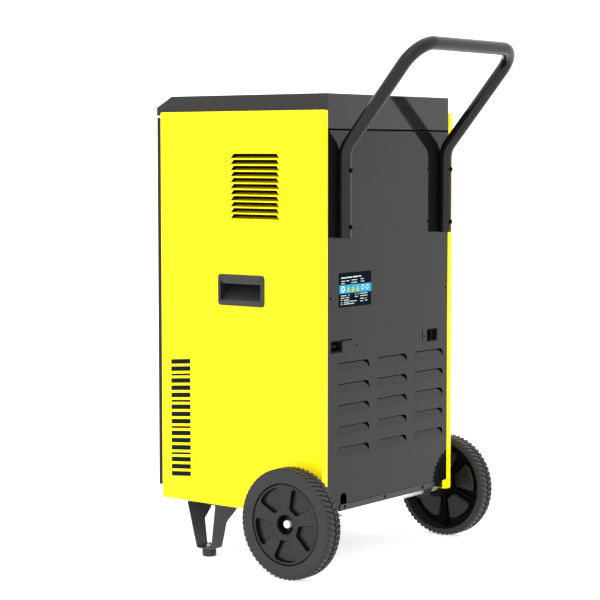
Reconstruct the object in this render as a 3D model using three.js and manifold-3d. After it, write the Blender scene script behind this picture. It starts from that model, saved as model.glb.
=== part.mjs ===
// Upright wheeled dehumidifier: sheet steel case on two wheels and two front feet, with a U-shaped push handle.
// Millimetres, +Z up. The front faces -Y, the push handle and the wheels are at +Y.
import * as THREE from 'three';
import { mergeVertices } from 'three/addons/utils/BufferGeometryUtils.js';
import Module from 'manifold-3d';

const wasm = await Module();
wasm.setup();

// ---------------------------------------------------------------- driving dimensions
const GAP = 0.3;              // clearance between pieces that touch
const SHEET = 1.5;            // sheet steel thickness
const CENTRE_Y = 79.2;        // distance from the middle of the case to the middle of the whole machine

const SIDE_X = 213;           // outer face of a side panel
const SIDE_IN = 197.6;        // inner edge of a side panel's folded rim
const SIDE_Y0 = -197.6;       // front edge of a side panel
const SIDE_Y1 = 194.3;        // rear edge, level with the rear panel
const SIDE_Z0 = 105.3, SIDE_Z1 = 851.9;
const CASE_X = 197.0;         // half width of the dark case between the side panels
const HOOD_X = 197.3, HOOD_TOP = 882.2, HOOD_REAR_Z = 818.5, HOOD_SIDE_Z = 836, HOOD_LIP_Z = 846;
const REAR_Y = 193.8;         // outer face of the rear panel and of the hood's rear
const CHAMFER = [[-182.0, 882.2], [-220.3, 861.5]];
const FRONT_Y = -220.3;       // outer face of the front panel
const FRONT_Z0 = 126, FRONT_Z1 = 842.5;
const TRAY_Z = 115, LIP_Z = 126.7;

const WHEEL_Y = 153.5, WHEEL_Z = 102.5, WHEEL_R = 102.5, DISC_R = 75;
const WHEEL_X0 = 236, WHEEL_X1 = 273.7, AXLE_R = 7.5;

const TUBE_R = 12.5, TUBE_WALL = 1.5, HANDLE_X = -3, HANDLE_HALF = 165;
const LEG_Y = REAR_Y + TUBE_R + GAP, LEG_Z0 = 620, BEND_Z = 780.4;
const BAR_Y = 366.2, BAR_Z = 969.3, BEND_R = 45, CORNER_R = 50;
const SCREW_Z = [640.2, 742.7];

const FOOT_X = 195, FOOT_Y = -93, FOOT_R = 13.5, FOOT_H = 15;
const FAN_Z = 620, FAN_R = 112;
const DECK_Z = 402;

// ---------------------------------------------------------------- materials
const mat = (color, roughness, metalness = 0) => new THREE.MeshStandardMaterial({ color, roughness, metalness });
const YELLOW = () => mat(0xffee28, 0.32);
const DARK = () => mat(0x4a4a4b, 0.28);
const FRAME = () => mat(0x333335, 0.4);
const BLACK = () => mat(0x1d1d1f, 0.5);
const RUBBER = () => mat(0x2b2b2c, 0.8);
const STEEL = () => mat(0xd8dade, 0.18, 1);
const GALV = () => mat(0xa9adb0, 0.42, 1);
const COPPER = () => mat(0xb8683c, 0.3, 1);
const ALU = () => mat(0xc6c9cc, 0.35, 1);

// ---------------------------------------------------------------- solid helpers
function solid(geometry) {
  const g = geometry.clone();
  g.deleteAttribute('normal');
  g.deleteAttribute('uv');
  const m = mergeVertices(g, 1e-4);
  const vertProperties = new Float32Array(m.attributes.position.array);
  const index = m.index.array;
  const tri = [];
  for (let i = 0; i < index.length; i += 3) {
    const [a, b, c] = [index[i], index[i + 1], index[i + 2]];
    if (a !== b && b !== c && a !== c) tri.push(a, b, c);
  }
  let out = new wasm.Manifold(new wasm.Mesh({ numProp: 3, vertProperties, triVerts: new Uint32Array(tri) }));
  if (out.volume() < 0) {
    for (let i = 0; i < tri.length; i += 3) [tri[i + 1], tri[i + 2]] = [tri[i + 2], tri[i + 1]];
    out = new wasm.Manifold(new wasm.Mesh({ numProp: 3, vertProperties, triVerts: new Uint32Array(tri) }));
  }
  return out;
}
const box = (x0, x1, y0, y1, z0, z1) =>
  solid(new THREE.BoxGeometry(x1 - x0, y1 - y0, z1 - z0).translate((x0 + x1) / 2, (y0 + y1) / 2, (z0 + z1) / 2));

const BASIS = {
  X: new THREE.Matrix4().makeBasis(new THREE.Vector3(0, 1, 0), new THREE.Vector3(0, 0, 1), new THREE.Vector3(1, 0, 0)),
  Y: new THREE.Matrix4().makeBasis(new THREE.Vector3(1, 0, 0), new THREE.Vector3(0, 0, 1), new THREE.Vector3(0, -1, 0)),
  Z: new THREE.Matrix4(),
};
// An outline extruded along an axis from lo to hi. Outlines are (y, z) for X, (x, z) for Y and (x, y) for Z.
function prism(axis, outline, lo, hi, bevel = null) {
  const shape = outline instanceof THREE.Shape ? outline : new THREE.Shape(outline.map(([a, b]) => new THREE.Vector2(a, b)));
  const options = bevel
    ? { depth: hi - lo - 2 * bevel.t, bevelEnabled: true, bevelThickness: bevel.t, bevelSize: bevel.t, bevelOffset: -bevel.t, bevelSegments: bevel.n, curveSegments: bevel.c ?? 2 }
    : { depth: hi - lo, bevelEnabled: false, curveSegments: 3 };
  const g = new THREE.ExtrudeGeometry(shape, options);
  if (bevel) g.translate(0, 0, bevel.t);
  g.translate(0, 0, axis === 'Y' ? -hi : lo);
  g.applyMatrix4(BASIS[axis]);
  return solid(g);
}
function roundRect(a0, a1, b0, b1, r) {
  const s = new THREE.Shape();
  s.moveTo(a0 + r, b0);
  s.lineTo(a1 - r, b0); s.absarc(a1 - r, b0 + r, r, -Math.PI / 2, 0);
  s.lineTo(a1, b1 - r); s.absarc(a1 - r, b1 - r, r, 0, Math.PI / 2);
  s.lineTo(a0 + r, b1); s.absarc(a0 + r, b1 - r, r, Math.PI / 2, Math.PI);
  s.lineTo(a0, b0 + r); s.absarc(a0 + r, b0 + r, r, Math.PI, 1.5 * Math.PI);
  return s;
}
const TURN = {
  X: (g) => g.rotateZ(-Math.PI / 2),
  Y: (g) => g,
  Z: (g) => g.rotateX(Math.PI / 2),
};
// A round body about an axis: profile points are (radius, distance along the axis).
const lathe = (axis, profile, centre, n = 24, phase = 0) =>
  solid(TURN[axis](new THREE.LatheGeometry(profile.map(([r, h]) => new THREE.Vector2(r, h)), n, phase)).translate(...centre));
const rod = (axis, r, lo, hi, centre, n = 16) => lathe(axis, [[0, lo], [r, lo], [r, hi], [0, hi]], centre, n);

// A path through fixed stations, so that bends are finely divided and straight runs are not.
class StationPath extends THREE.Curve {
  constructor(stations) { super(); this.stations = stations; }
  getPoint(t, target = new THREE.Vector3()) {
    const n = this.stations.length - 1;
    const i = Math.min(Math.floor(t * n + 1e-9), n - 1);
    return target.copy(this.stations[i]).lerp(this.stations[i + 1], t * n - i);
  }
  getPointAt(u, target) { return this.getPoint(u, target); }
  getTangentAt(u, target = new THREE.Vector3()) {
    const n = this.stations.length - 1;
    const i = Math.round(u * n);
    const a = this.stations[Math.max(i - 1, 0)], b = this.stations[i], c = this.stations[Math.min(i + 1, n)];
    const back = b.clone().sub(a).normalize(), ahead = c.clone().sub(b).normalize();
    return target.copy(back).add(ahead).normalize();
  }
  getTangent(t, target) { return this.getTangentAt(t, target); }
}
// Stations of a polyline whose corners are rounded to radius r.
function rounded(points, radii, pieces) {
  const v = points.map((p) => new THREE.Vector3(...p));
  const out = [v[0]];
  for (let i = 1; i < v.length - 1; i++) {
    const a = v[i - 1].clone().sub(v[i]).normalize(), b = v[i + 1].clone().sub(v[i]).normalize();
    const half = Math.acos(THREE.MathUtils.clamp(a.dot(b), -1, 1)) / 2;
    const r = Array.isArray(radii) ? radii[i - 1] : radii;
    const t = r / Math.tan(half);
    const start = v[i].clone().addScaledVector(a, t), end = v[i].clone().addScaledVector(b, t);
    const centre = v[i].clone().addScaledVector(a.clone().add(b).normalize(), r / Math.sin(half));
    const c0 = start.clone().sub(centre), c1 = end.clone().sub(centre);
    const sweep = c0.angleTo(c1);
    const n = Array.isArray(pieces) ? pieces[i - 1] : pieces;
    const axis = c0.clone().cross(c1).normalize();
    for (let k = 0; k <= n; k++) out.push(centre.clone().add(c0.clone().applyAxisAngle(axis, (sweep * k) / n)));
  }
  out.push(v[v.length - 1]);
  return out;
}
function sweep(stations, r, sides) {
  const section = new THREE.Shape();
  for (let i = 0; i < sides; i++) {
    const a = (2 * Math.PI * (i + 0.5)) / sides;
    if (i === 0) section.moveTo(r * Math.cos(a), r * Math.sin(a)); else section.lineTo(r * Math.cos(a), r * Math.sin(a));
  }
  section.closePath();
  const path = new StationPath(stations);
  return solid(new THREE.ExtrudeGeometry(section, { steps: stations.length - 1, extrudePath: path, bevelEnabled: false }));
}

const machine = new THREE.Group();
machine.name = 'dehumidifier';
machine.position.set(0, -CENTRE_Y, 0);
function piece(name, body, material) {
  const m = body.getMesh();
  const g = new THREE.BufferGeometry();
  g.setAttribute('position', new THREE.BufferAttribute(new Float32Array(m.vertProperties), 3));
  g.setIndex(new THREE.BufferAttribute(new Uint32Array(m.triVerts), 1));
  g.computeVertexNormals();
  const mesh = new THREE.Mesh(g, material);
  mesh.name = name;
  machine.add(mesh);
}
const mirror = (body) => body.scale([-1, 1, 1]);

// ---------------------------------------------------------------- base
// Folded tray: floor, low upturned rims, a rear lip that covers the foot of the rear panel, and two U runners below.
{
  const lipX0 = -152, lipX1 = 160.5;
  let tray = box(-CASE_X + 1, CASE_X - 1, -200, 191.5, TRAY_Z, TRAY_Z + 2)
    .add(box(lipX0, lipX1, 190, 195.6, TRAY_Z, TRAY_Z + 2))
    .add(box(lipX0, lipX1, 194.1, 195.6, TRAY_Z, LIP_Z))
    .add(box(-CASE_X + 1, CASE_X - 1, -200, -198.5, TRAY_Z, 125.5))
    .add(box(CASE_X - 2.5, CASE_X - 1, -200, 191.5, TRAY_Z, 124))
    .add(box(-CASE_X + 1, -CASE_X + 2.5, -200, 191.5, TRAY_Z, 124));
  for (const s of [-1, 1]) {
    const runner = box(142, 196.5, -185, 108, SIDE_Z0, TRAY_Z + 0.5).subtract(box(143.5, 195, -183.5, 106.5, SIDE_Z0 + SHEET, TRAY_Z + 1));
    const open = runner.subtract(box(150, 188, -190, -140, SIDE_Z0 + 1.6, TRAY_Z - 1));
    tray = tray.add(s > 0 ? open : mirror(open));
  }
  piece('base_tray', tray, FRAME());
}

// ---------------------------------------------------------------- side panels
// Tray-shaped skins with a folded rim, 11 pressed air slots, a cut-out for the carrying handle and an axle notch.
const SLOTS = 11, SLOT_TOP = 773.2, SLOT_PITCH = 11.25, SLOT_H = 8.7;
function sidePanel() {
  const pan = (inset, x1) =>
    prism('X', roundRect(SIDE_Y0 + inset, SIDE_Y1 - inset, SIDE_Z0 + inset, SIDE_Z1 - inset, 5 - inset), 180, x1, { t: 3.2 - inset * 0.6, n: inset ? 1 : 2, c: 2 });
  let p = pan(0, SIDE_X).subtract(pan(SHEET, SIDE_X - SHEET)).subtract(box(170, SIDE_IN, -250, 250, 80, 900));
  let cut = null;
  for (let i = 0; i < SLOTS; i++) {
    const zt = SLOT_TOP - i * SLOT_PITCH, zb = zt - SLOT_H;
    const hole = prism('X', [[-22.4, zb], [94.9, zb], [88.3, zt], [-14.6, zt]], SIDE_X - 4, SIDE_X + 2);
    cut = cut ? cut.add(hole) : hole;
  }
  p = p.subtract(cut).subtract(prism('X', roundRect(-48.1, 55.9, 492.2, 544.3, 5), 190, 220));
  for (let i = 0; i < SLOTS; i++) {
    const zb = SLOT_TOP - i * SLOT_PITCH - SLOT_H;
    p = p.add(prism('Y', [[SIDE_X - 0.9, zb - 0.8], [SIDE_X - 0.9, zb + 0.5], [SIDE_X - 14, zb + 4.6], [SIDE_X - 14, zb + 3.2]], -21.1, 93.6));
  }
  // rear tab at the foot, turned towards the middle of the machine
  p = p.add(box(182, 203, SIDE_Y1 - 0.35, SIDE_Y1 + 1.2, 108, 125));
  return p.subtract(rod('X', 8.6, 150, 230, [0, WHEEL_Y, WHEEL_Z], 20));
}
{
  const right = sidePanel();
  piece('side_panel_right', right, YELLOW());
  piece('side_panel_left', mirror(right), YELLOW());
}

// ---------------------------------------------------------------- carrying handles let into the side panels
function pocketHandle() {
  const Y0 = -51.9, Y1 = 59.7, Z0 = 488.8, Z1 = 547.7;
  let h = prism('X', roundRect(Y0, Y1, Z0, Z1, 7), SIDE_X + GAP, SIDE_X + 3, { t: 0.9, n: 1, c: 2 })
    .add(prism('X', roundRect(-47.1, 54.9, 493.2, 543.3, 4.5), 172, SIDE_X + 1.4));
  // the hollow: deep, with a sloping floor, and reaching up behind the grip lip
  h = h.subtract(prism('Y', [[174.5, 499.5], [174.5, 540.5], [206.9, 540.5], [206.9, 529.6], [217, 529.6], [217, 503.5], [210.9, 503.5], [204.4, 499.5]].map(([x, z]) => [x, z]), -44.1, 51.9));
  return h;
}
{
  const right = pocketHandle();
  piece('carry_handle_right', right, BLACK());
  piece('carry_handle_left', mirror(right), BLACK());
}

// ---------------------------------------------------------------- hood
// Chamfer frame: x across the machine, s up the slope, n out of it.
const [cTop, cLow] = CHAMFER;
const slope = new THREE.Vector3(0, cTop[0] - cLow[0], cTop[1] - cLow[1]).normalize();
const normal = new THREE.Vector3(1, 0, 0).cross(slope).normalize();
const chamferMatrix = new THREE.Matrix4()
  .makeBasis(new THREE.Vector3(1, 0, 0), slope, normal)
  .setPosition(0, (cTop[0] + cLow[0]) / 2, (cTop[1] + cLow[1]) / 2);
const onChamfer = (body) => body.transform(chamferMatrix.elements.slice());
{
  const outer = prism('X', [[REAR_Y, HOOD_REAR_Z], [REAR_Y, HOOD_TOP - 2], [REAR_Y - 2, HOOD_TOP], cTop, cLow, [cLow[0], HOOD_LIP_Z], [-201.7, HOOD_LIP_Z], [-201.7, HOOD_SIDE_Z], [150, HOOD_SIDE_Z], [168, HOOD_REAR_Z]], -HOOD_X, HOOD_X);
  const inner = prism('X', [[REAR_Y - SHEET, 700], [REAR_Y - SHEET, HOOD_TOP - 1.8], [-182, HOOD_TOP - 1.8], [cLow[0] + SHEET, cLow[1] - 1], [cLow[0] + SHEET, 800], [-150, 700]], -HOOD_X + SHEET, HOOD_X - SHEET);
  let hood = outer.subtract(inner);
  hood = hood.subtract(onChamfer(box(-115.3, 115.3, -15.3, 15.3, -12, 8)));
  piece('hood', hood, DARK());
}

// ---------------------------------------------------------------- control panel on the chamfer
const DISPLAY = [-84, -24], BUTTON_X = [0, 24, 48], BUTTON_R = 6.8, ROCKER_X = 84, ROCKER_N = -3;
{
  let p = box(-115, 115, -15, 15, -2.5, 0.6)
    .subtract(box(DISPLAY[0], DISPLAY[1], -9, 9, -5, 3))
    .subtract(box(ROCKER_X - 13.2, ROCKER_X + 13.2, -8.2, 8.2, -5, 3));
  for (const x of BUTTON_X) p = p.subtract(rod('Z', BUTTON_R + 0.4, -5, 3, [x, 0, 0], 16));
  piece('control_panel', onChamfer(p), BLACK());
  piece('display_window', onChamfer(box(DISPLAY[0] + GAP, DISPLAY[1] - GAP, -8.7, 8.7, -2, 0.9)), mat(0x10242a, 0.08));
  ['button_up', 'button_down', 'button_mode'].forEach((name, i) =>
    piece(name, onChamfer(lathe('Z', [[0, -6], [BUTTON_R, -6], [BUTTON_R, 2.4], [0, 2.4]], [BUTTON_X[i], 0, 0], 16)), mat(0x6d7072, 0.45)));
  const rocker = prism('Y', [[-12, -4.5], [12, -4.5], [12, 2.4], [10.6, 5.8], [0, 4.4], [-10.6, 5.8], [-12, 2.4]], -7.7, 7.7);
  piece('power_switch', onChamfer(rocker.translate([ROCKER_X, 0, ROCKER_N])), mat(0xb3261e, 0.35));
}

// ---------------------------------------------------------------- rear panel
{
  const y0 = REAR_Y - SHEET;
  let rear = box(-CASE_X + 0.3, CASE_X - 0.3, y0, REAR_Y, 117.6, 818.2);
  // side flanges stiffen the sheet
  rear = rear.add(box(CASE_X - 1.8, CASE_X - 0.3, y0 - 10, y0 + 0.5, 135, 812)).add(box(-CASE_X + 0.3, -CASE_X + 1.8, y0 - 10, y0 + 0.5, 135, 812));
  const columns = [[67, 171], [-57, 46], [-182, -78]], rows = [390, 351, 312, 272, 233];
  let cut = null;
  for (const [x0, x1] of columns) for (const z of rows) {
    const hole = box(x0, x1, y0 - 3, REAR_Y + 3, z - 19, z);
    cut = cut ? cut.add(hole) : hole;
  }
  rear = rear.subtract(cut);
  for (const [x0, x1] of columns) for (const z of rows) {
    const scoop = prism('X', [[REAR_Y, z - 19.3], [y0 - 0.6, z - 19.3], [184.6, z - 1], [186.2, z - 1]], x0 - 0.5, x1 + 0.5)
      .add(prism('X', [[REAR_Y - 0.3, z - 19.2], [184.8, z - 1], [REAR_Y - 0.3, z - 0.2]], x0 - 0.8, x0 + 0.6))
      .add(prism('X', [[REAR_Y - 0.3, z - 19.2], [184.8, z - 1], [REAR_Y - 0.3, z - 0.2]], x1 - 0.6, x1 + 0.8));
    rear = rear.add(scoop);
  }
  // windows for the mains inlet and the control socket, and their narrow hanging slits
  rear = rear.subtract(box(152, 188.3, y0 - 3, REAR_Y + 3, 409.5, 432))
    .subtract(box(123.5, 154, y0 - 3, REAR_Y + 3, 429.4, 431.6))
    .subtract(box(-161.5, -124.9, y0 - 3, REAR_Y + 3, 406.4, 431.4))
    .subtract(box(-111.4, -109, y0 - 3, REAR_Y + 3, 408, 429));
  // arch-shaped hose opening at the foot
  const arch = new THREE.Shape();
  arch.moveTo(138.2, 127); arch.lineTo(158, 127); arch.lineTo(158, 137.6); arch.absarc(148.1, 137.6, 9.9, 0, Math.PI); arch.lineTo(138.2, 127);
  rear = rear.subtract(prism('Y', arch, y0 - 3, REAR_Y + 3));
  for (const x of [HANDLE_X + HANDLE_HALF, HANDLE_X - HANDLE_HALF]) for (const z of SCREW_Z)
    rear = rear.subtract(rod('Y', 3.3, 180, 200, [x, 0, z], 10));
  piece('rear_panel', rear, DARK());
  piece('rating_plate', prism('Y', roundRect(63, 163, 492, 555.5, 1.5), REAR_Y + GAP, REAR_Y + 0.9), mat(0x12283a, 0.35));
}
{
  const inlet = box(152.4, 187.9, 162, REAR_Y - 0.4, 409.9, 431.6).subtract(box(155, 185.3, 176, 200, 412.3, 429.2)).add(box(162, 178, 170, 188, 417, 424.5));
  piece('power_inlet', inlet, BLACK());
  const socket = box(-161.1, -125.3, 162, REAR_Y - 0.4, 406.8, 431).subtract(box(-158.8, -144.6, 172, 200, 409, 428.8)).subtract(box(-141.8, -127.6, 172, 200, 409, 428.8));
  piece('control_socket', socket, BLACK());
}

// ---------------------------------------------------------------- front panel
{
  let front = box(-CASE_X, CASE_X, FRONT_Y, -201.8, FRONT_Z0, FRONT_Z1)
    .subtract(box(-CASE_X + SHEET, CASE_X - SHEET, FRONT_Y + SHEET, -190, FRONT_Z0 + SHEET, FRONT_Z1 - SHEET))
    .subtract(prism('Y', roundRect(-165, 165, 430, 800, 8), -230, -190))
    .subtract(prism('Y', roundRect(-172, 172, 136, 378, 6), -230, -190));
  piece('front_panel', front, DARK());
}

// ---------------------------------------------------------------- air intake: louvred cassette and filter pad
{
  const Z0 = 431, Z1 = 799, X = 164;
  let g = prism('Y', roundRect(-X, X, Z0, Z1, 7), -216.8, -194).subtract(box(-X + 9, X - 9, -230, -180, Z0 + 9, Z1 - 9));
  for (let i = 0; i < 12; i++) {
    const z = Z0 + 24 + i * 29.1;
    g = g.add(prism('X', [[-215.6, z - 7], [-213.4, z - 8], [-206.6, z + 6], [-208.8, z + 7]], -X + 8, X - 8));
  }
  g = g.add(box(-3, 3, -212, -207, Z0 + 5, Z1 - 5));
  // finger bar at the top of the cassette
  g = g.add(box(-60, 60, -216.8, -212, Z1 - 26, Z1 - 7));
  piece('intake_grille', g, BLACK());
  let f = box(-X + 9.4, X - 9.4, -205.9, -196, Z0 + 9.4, Z1 - 9.4);
  for (let i = 1; i < 12; i++) {
    const x = -X + 9.4 + (i * 2 * (X - 9.4)) / 12;
    f = f.subtract(box(x - 3, x + 3, -203, -190, Z0 + 16, Z1 - 16));
  }
  piece('air_filter', f, mat(0x8d9496, 0.95));
}

// ---------------------------------------------------------------- heat exchangers and drip tray
function coil(y0, y1) {
  let c = box(-148, 148, y0, y1, 440, 790);
  for (let i = 1; i < 6; i++) {
    const x = -148 + i * 49.33;
    c = c.subtract(box(x - 1.2, x + 1.2, y0 - 2, y0 + 9, 444, 786));
  }
  c = c.add(box(-150, -147.5, y0 - 2, y1 + 2, 434, 794)).add(box(147.5, 150, y0 - 2, y1 + 2, 434, 794));
  const mid = (y0 + y1) / 2;
  for (let i = 0; i < 3; i++) {
    const z = 480 + i * 105;
    for (const s of [-1, 1]) {
      const ring = new THREE.Shape();
      ring.absarc(0, 0, 14, -Math.PI / 2, Math.PI / 2); ring.lineTo(0, 7); ring.absarc(0, 0, 7, Math.PI / 2, -Math.PI / 2, true);
      // return bend lying in the X-Z plane
      const shape = new THREE.Shape(ring.getPoints(2).map((p) => new THREE.Vector2(s * (149 + p.x * 0.5), z + (s > 0 ? 0 : 24) + p.y)));
      c = c.add(prism('Y', shape, mid - 4, mid + 4));
    }
  }
  return c;
}
piece('evaporator', coil(-178, -140), ALU());
piece('condenser', coil(-128, -90), ALU());
{
  let t = box(-165, 165, -184, -82, DECK_Z + 2, 431).subtract(box(-162.5, 162.5, -181.5, -84.5, DECK_Z + 4.5, 440));
  t = t.subtract(rod('Z', 6.5, 395, 410, [0, -120, 0], 16));
  t = t.add(lathe('Z', [[6.5, 382], [9, 382], [9, 405], [6.5, 405], [6.5, 382]], [0, -120, 0], 16));
  piece('drip_tray', t, mat(0xdfe3e4, 0.5));
}

// ---------------------------------------------------------------- decks and bulkheads
{
  let d = box(-194.8, 194.8, -200, 191, DECK_Z, DECK_Z + SHEET)
    .add(box(-194.8, -193.3, -180, 180, DECK_Z - 14, DECK_Z + SHEET)).add(box(193.3, 194.8, -180, 180, DECK_Z - 14, DECK_Z + SHEET));
  d = d.subtract(rod('Z', 9.6, 380, 410, [0, -120, 0], 20))
    .subtract(rod('Z', 7, 380, 410, [175, 110, 0], 16)).subtract(rod('Z', 7, 380, 410, [-175, 90, 0], 16))
    // clearance round the two rear sockets
    .subtract(box(150, 190.5, 159, 200, 380, 440)).subtract(box(-164, -122, 159, 200, 380, 440));
  piece('mid_deck', d, GALV());
  let b = box(-194.1, 194.1, -18, -16.5, 117.4, DECK_Z - 14.5).add(box(-192, 192, -18, -16.5, DECK_Z - 16, DECK_Z - 0.4));
  b = b.add(box(-190, 190, -17.5, -6, 117.4, 118.9));
  piece('lower_bulkhead', b, GALV());
  let f = box(-196, 196, -66, -64.5, DECK_Z + 1.9, 817).subtract(rod('Y', 119, -80, -50, [0, 0, FAN_Z], 36))
    .add(lathe('Y', [[118, -66], [120.5, -66], [120.5, -38], [118, -38], [118, -66]], [0, 0, FAN_Z], 36))
    .subtract(rod('Y', 7, -80, -50, [175, 0, 640], 16)).subtract(rod('Y', 7, -80, -50, [-175, 0, 600], 16));
  f = f.add(box(-190, 190, -65, -52, DECK_Z + 1.9, DECK_Z + 3.4));
  piece('fan_bulkhead', f, GALV());
}

// ---------------------------------------------------------------- fan, motor and motor bracket
{
  let fan = lathe('Y', [[4.5, -58], [28, -58], [31, -55], [31, -30], [4.5, -30], [4.5, -58]], [0, 0, 0], 24);
  const blade = solid(new THREE.BoxGeometry(52, 2.4, 82)).rotate([0, 0, 28]).intersect(box(-60, 60, -14, 14, -60, 60)).translate([0, -44, 69]);
  for (let i = 0; i < 5; i++) fan = fan.add(blade.rotate([0, i * 72, 0]));
  fan = fan.intersect(rod('Y', FAN_R, -70, -20, [0, 0, 0], 24)).subtract(rod('Y', 4.5, -70, -20, [0, 0, 0], 16));
  piece('fan_blades', fan.translate([0, 0, FAN_Z]), BLACK());
  piece('motor_shaft', rod('Y', 4, -61, -4, [0, 0, FAN_Z], 16), STEEL());
  const motor = lathe('Y', [[4.6, -22], [14, -22], [16, -18], [40, -16], [42, -12], [42, 48], [38, 54], [0, 54], [0, 0], [4.6, 0], [4.6, -22]], [0, 0, FAN_Z], 20);
  piece('fan_motor', motor, mat(0x303436, 0.45, 0.4));
  let br = lathe('Y', [[42.4, 4], [47, 4], [47, 14], [42.4, 14], [42.4, 4]], [0, 0, 0], 24);
  for (let i = 0; i < 4; i++) {
    const arm = box(45, 131, 7, 11, -5, 5).add(box(127, 131, -64.2, 11, -5, 5));
    br = br.add(arm.rotate([0, 45 + i * 90, 0]));
  }
  piece('motor_bracket', br.translate([0, 0, FAN_Z]), GALV());
}

// ---------------------------------------------------------------- refrigeration
{
  const cx = -40, cy = 90;
  let c = lathe('Z', [[0, 126], [70, 126], [76, 132], [76, 318], [66, 334], [30, 342], [9, 344], [0, 344]], [cx, cy, 0], 20);
  // three feet with their rubber bobbins, welded base
  for (let i = 0; i < 3; i++) {
    const a = Math.PI / 2 + (i * 2 * Math.PI) / 3;
    c = c.add(rod('Z', 15, 117.4, 130, [cx + 84 * Math.cos(a), cy + 84 * Math.sin(a), 0], 10))
      .add(box(-12, 12, 0, 84, 126.5, 129.5).rotate([0, 0, (a * 180) / Math.PI - 90]).translate([cx, cy, 0]));
  }
  // suction accumulator strapped to the shell
  c = c.add(lathe('Z', [[0, 170], [18, 172], [27, 182], [27, 312], [16, 326], [0, 328]], [66, 110, 0], 14)).add(box(30, 45, 104, 116, 240, 256));
  piece('compressor', c, mat(0x1b1c1e, 0.35, 0.3));
  piece('suction_pipe', sweep(rounded([[66, 110, 328.4], [66, 110, 366], [175, 110, 366], [175, 110, 640], [175, -159, 640], [158.6, -159, 640]], [14, 14, 14, 14, 5], 3), 5, 8), COPPER());
  piece('discharge_pipe', sweep(rounded([[cx, cy, 344.4], [cx, cy, 372], [-175, cy, 372], [-175, cy, 600], [-175, -109, 600], [-158.6, -109, 600]], [12, 14, 14, 14, 5], 3), 4.5, 8), COPPER());
}

// ---------------------------------------------------------------- electrical box under the hood
{
  piece('control_box', box(-120, 120, -172, -92, 800, 862).subtract(box(-117.5, 117.5, -169.5, -94.5, 795, 859.5)), mat(0xcfd3d4, 0.5));
  piece('control_board', box(-112, 112, -164, -100, 836, 838).add(box(-90, -50, -150, -120, 815, 837)).add(rod('Z', 17, 808, 837, [60, -132, 0], 20)), mat(0x1f5c3a, 0.5));
}

// ---------------------------------------------------------------- water tank drawer
const TANK_Z0 = 140.5;
{
  const shelf = box(-165, 165, -189.8, -22, 117.4, 139.7).subtract(box(-163.5, 163.5, -210, -10, 110, 138.2));
  piece('tank_shelf', shelf, GALV());
  let tank = box(-158, 158, -190, -32, TANK_Z0, 368).subtract(box(-155, 155, -187, -35, TANK_Z0 + 3, 380));
  tank = tank.add(box(-161, 161, -190, -186, 362, 366)).add(box(-161, 161, -35, -30, 362, 366));
  // ears that carry the float's pin
  tank = tank.add(box(-112, -109, -152, -134, TANK_Z0 + 1, 340)).add(box(-91, -88, -152, -134, TANK_Z0 + 1, 340));
  tank = tank.subtract(rod('X', 2.4, -115, -85, [0, -143, 332], 12));
  piece('water_tank', tank, mat(0xe7ecee, 0.35));
  let tf = prism('Y', roundRect(-171, 171, 137, 377, 6), -217, -190.4).subtract(box(-168.5, 168.5, -214.5, -180, 139.5, 374.5));
  tf = tf.subtract(prism('Y', roundRect(-58, 58, 318, 350, 8), -225, -205)).subtract(box(120, 136, -225, -205, 165, 345));
  // screw bosses that join the front to the tank
  for (const x of [-150, 150]) tf = tf.add(box(x - 5, x + 5, -215, -190.4, 200, 212));
  piece('tank_front', tf, DARK());
  piece('level_window', box(120.4, 135.6, -216.4, -214.9, 165.4, 344.6).add(box(117, 139, -214.1, -212, 161, 349)).add(box(121, 135, -215, -213, 166, 344)), mat(0xbfd6dc, 0.1));
  piece('float_pin', rod('X', 2, -114, -86, [0, -143, 332], 12), STEEL());
  // float arm: bushed eye, arm and buoyant block hanging from the pin
  const arm = rod('X', 6, -108, -92, [0, -143, 332], 16).add(box(-104, -96, -141, -70, 329.5, 333)).add(box(-125, -75, -98, -52, 300, 331)).subtract(rod('X', 2.4, -115, -85, [0, -143, 332], 12));
  piece('float_arm', arm, mat(0xf2f2ee, 0.6));
}

// ---------------------------------------------------------------- front feet
function footBracket() {
  const plan = prism('Y', [[180, FOOT_H + GAP], [210, FOOT_H + GAP], [210, 105], [144, 105], [144, 86], [171.5, 66]], -160, -40);
  const fold = prism('X', [
    [-112.5, 15.3], [-74, 15.3], [-63.5, 103], [-63.5, 105], [-84, 105], [-84, 103], [-66.2, 103], [-76.2, 17.8],
    [-110.4, 17.8], [-133.6, 103], [-116, 103], [-116, 105], [-136, 105], [-136, 103]], 140, 215);
  return plan.intersect(fold).subtract(rod('Z', 4.4, 10, 25, [FOOT_X, FOOT_Y, 0], 14));
}
{
  const bracket = footBracket();
  const foot = lathe('Z', [[0, 0], [FOOT_R - 1.5, 0], [FOOT_R, 2], [FOOT_R - 1, FOOT_H], [4.4, FOOT_H], [4.4, 5], [0, 5]], [FOOT_X, FOOT_Y, 0], 20);
  const hex = [0, 1, 2, 3, 4, 5].map((i) => [FOOT_X + 7.5 * Math.cos((i * Math.PI) / 3), FOOT_Y + 7.5 * Math.sin((i * Math.PI) / 3)]);
  const bolt = rod('Z', 4, 5.4, 26, [FOOT_X, FOOT_Y, 0], 14).add(prism('Z', hex, 18.1, 24));
  for (const [side, f] of [['right', (m) => m], ['left', mirror]]) {
    piece(`foot_bracket_${side}`, f(bracket), FRAME());
    piece(`rubber_foot_${side}`, f(foot), RUBBER());
    piece(`foot_bolt_${side}`, f(bolt), STEEL());
  }
}

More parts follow.
